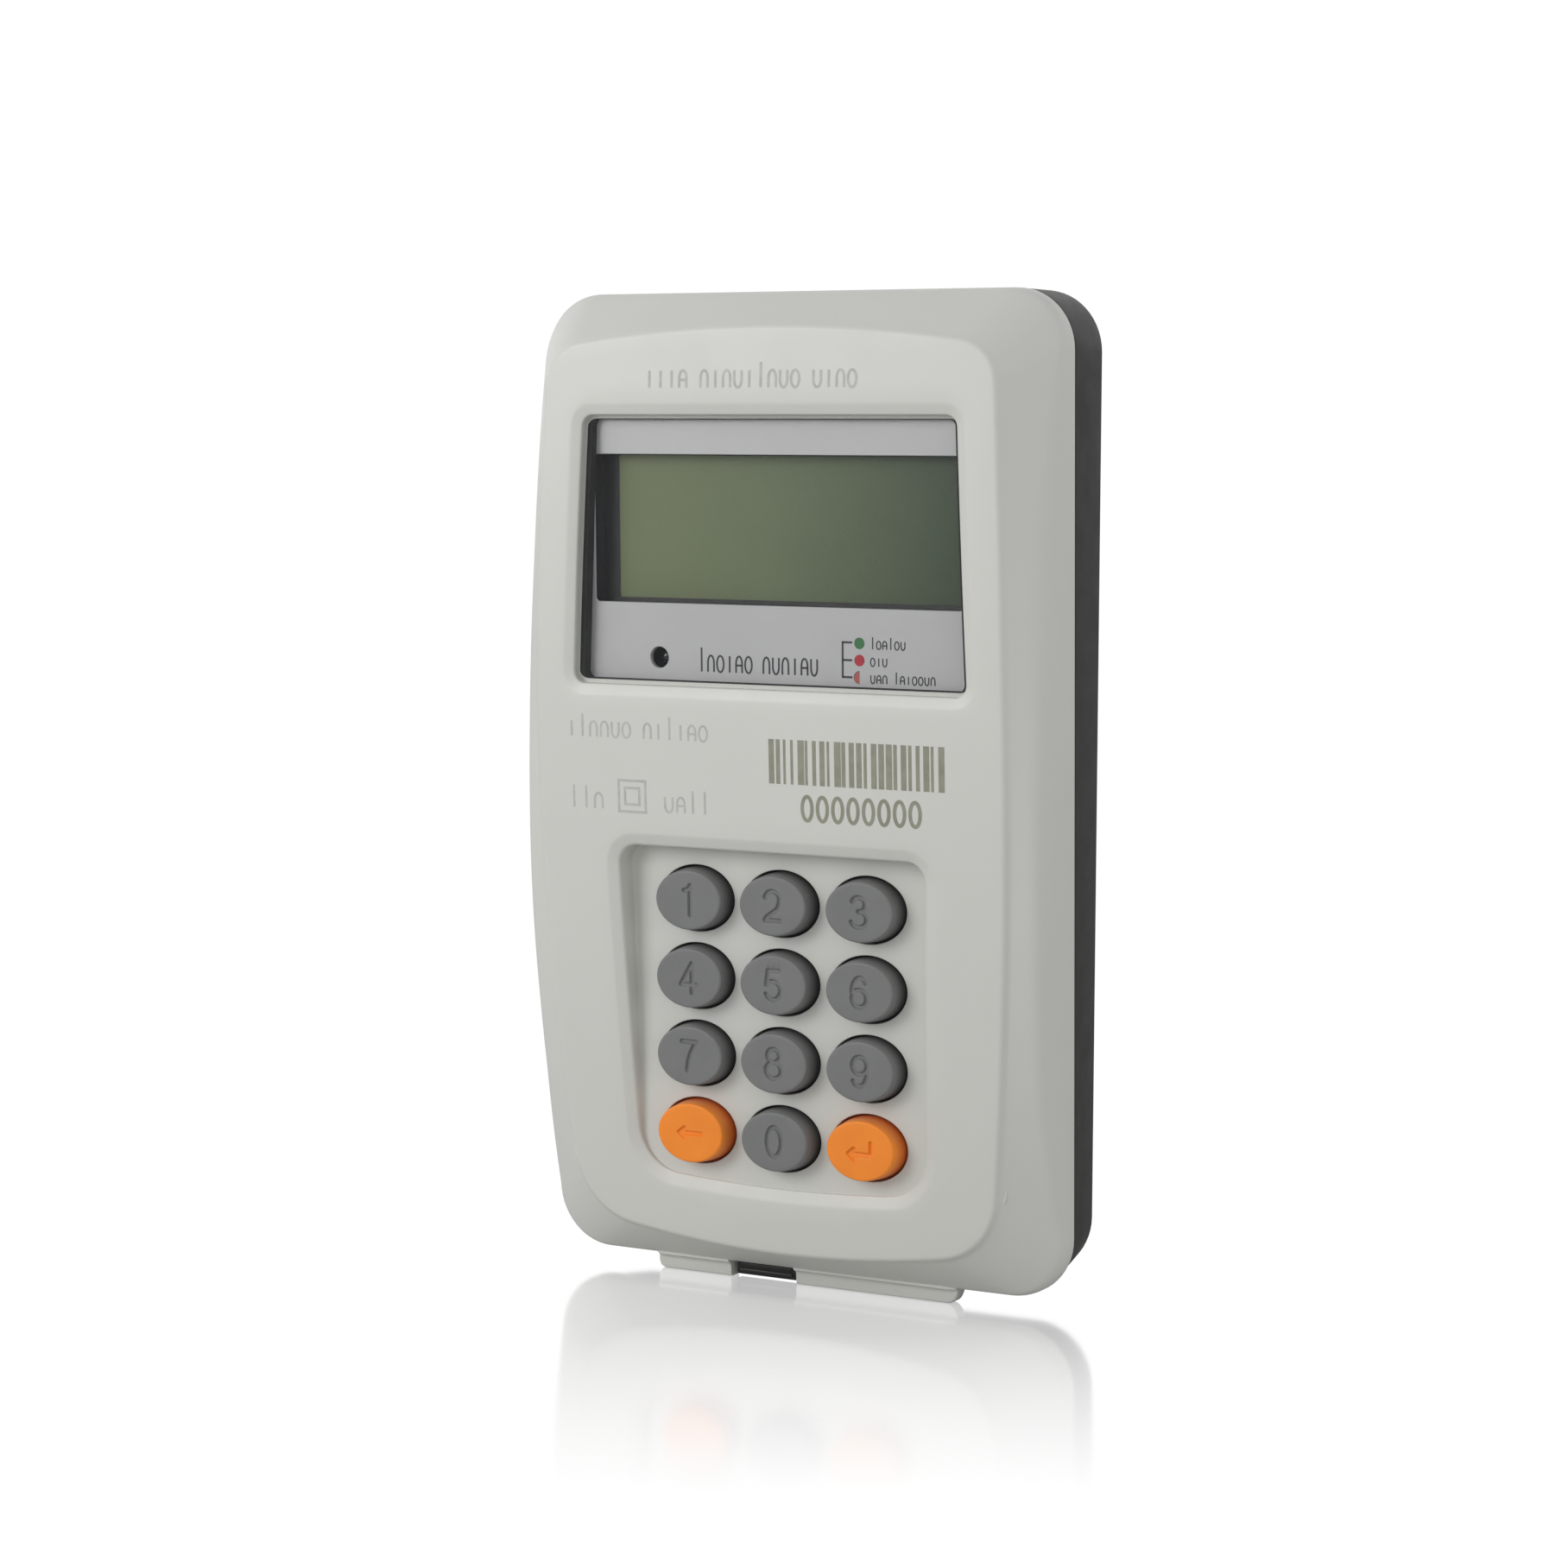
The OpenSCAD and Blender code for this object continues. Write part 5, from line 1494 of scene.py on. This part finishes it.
mirror.inputs["Color"].default_value = (1, 1, 1, 1)
mirror.inputs["Roughness"].default_value = 0.11
tree.links.new(path.outputs["Is Camera Ray"], seen_mix.inputs[0])
tree.links.new(dull.outputs[0], seen_mix.inputs[1])
tree.links.new(gloss_mix.outputs[0], seen_mix.inputs[2])
# the polish is strongest close to the case and fades out in front of it and behind it, along
# the main view; it takes this many metres
polish_start, polish_end = 0.04, 0.125
place = tree.nodes.new("ShaderNodeTexCoord")
ahead = tree.nodes.new("ShaderNodeVectorMath")
ahead.operation = "DOT_PRODUCT"
ahead.inputs[1].default_value = (0.5, -0.866, 0)  # 30 degrees to the right of straight ahead
tree.links.new(place.outputs["Object"], ahead.inputs[0])
reach = tree.nodes.new("ShaderNodeMath")
reach.operation = "ABSOLUTE"
tree.links.new(ahead.outputs["Value"], reach.inputs[0])
fade = ranged(tree, reach.outputs[0], 1.9, 0.0, polish_start, polish_end)
polish = tree.nodes.new("ShaderNodeMath")
polish.operation = "MULTIPLY"
polish.use_clamp = True
tree.links.new(fresnel.outputs[0], polish.inputs[0])
tree.links.new(fade, polish.inputs[1])
tree.links.new(polish.outputs[0], gloss_mix.inputs[0])
tree.links.new(white.outputs[0], gloss_mix.inputs[1])
tree.links.new(mirror.outputs[0], gloss_mix.inputs[2])
tree.links.new(seen_mix.outputs[0], end.inputs["Surface"])
floor_mesh.materials.append(floor_finish)

scene = bpy.context.scene
scene.view_settings.view_transform = "Standard"
surround = bpy.data.worlds.new("surround")
surround.use_nodes = True
scene.world = surround
tree = surround.node_tree
tree.nodes.clear()
end = tree.nodes.new("ShaderNodeOutputWorld")
seen = tree.nodes.new("ShaderNodeBackground")
seen.inputs["Color"].default_value = (1, 1, 1, 1)
seen.inputs["Strength"].default_value = 1.02
lit = tree.nodes.new("ShaderNodeBackground")
lit.inputs["Strength"].default_value = 1.0
coords = tree.nodes.new("ShaderNodeTexCoord")
split = tree.nodes.new("ShaderNodeSeparateXYZ")
tree.links.new(coords.outputs["Generated"], split.inputs[0])
tree.links.new(ramp(tree, split.outputs["Z"], [(0.0, (0.97, 0.97, 0.97)), (0.9, (0.24, 0.24, 0.24))]),
               lit.inputs["Color"])
pick = tree.nodes.new("ShaderNodeMixShader")
path = tree.nodes.new("ShaderNodeLightPath")
tree.links.new(path.outputs["Is Diffuse Ray"], pick.inputs[0])
tree.links.new(seen.outputs[0], pick.inputs[1])
tree.links.new(lit.outputs[0], pick.inputs[2])
tree.links.new(pick.outputs[0], end.inputs["Surface"])


def lamp(name, place, aim, size, power):
    """A square soft lamp aimed at a point."""
    data = bpy.data.lights.new(name, "AREA")
    data.size, data.energy = size, power
    thing = bpy.data.objects.new(name, data)
    scene.collection.objects.link(thing)
    thing.location = place
    thing.rotation_mode = "QUATERNION"
    thing.rotation_quaternion = (Vector(aim) - Vector(place)).to_track_quat("-Z", "Y")


lamp("key_lamp", (-0.30, -0.46, 0.22), (0, 0, 0), 0.3, 1.28)
lamp("fill_lamp", (0.45, -0.10, 0.14), (0, 0, 0), 0.4, 0.26)

azimuth, elevation, roll = math.radians(30), math.radians(6.13), math.radians(-0.4)
aim, distance = Vector((-4.6, -9.5, 0)) * MM, 0.59
away = Vector((math.sin(azimuth) * math.cos(elevation), -math.cos(azimuth) * math.cos(elevation),
               math.sin(elevation)))
camera_data = bpy.data.cameras.new("camera")
camera_data.lens, camera_data.sensor_width = 89.7, 36
camera = bpy.data.objects.new("camera", camera_data)
scene.collection.objects.link(camera)
camera.location = aim + away * distance
camera.rotation_mode = "QUATERNION"
camera.rotation_quaternion = (-away).to_track_quat("-Z", "Y") @ Quaternion((0, 0, 1), roll)
scene.camera = camera
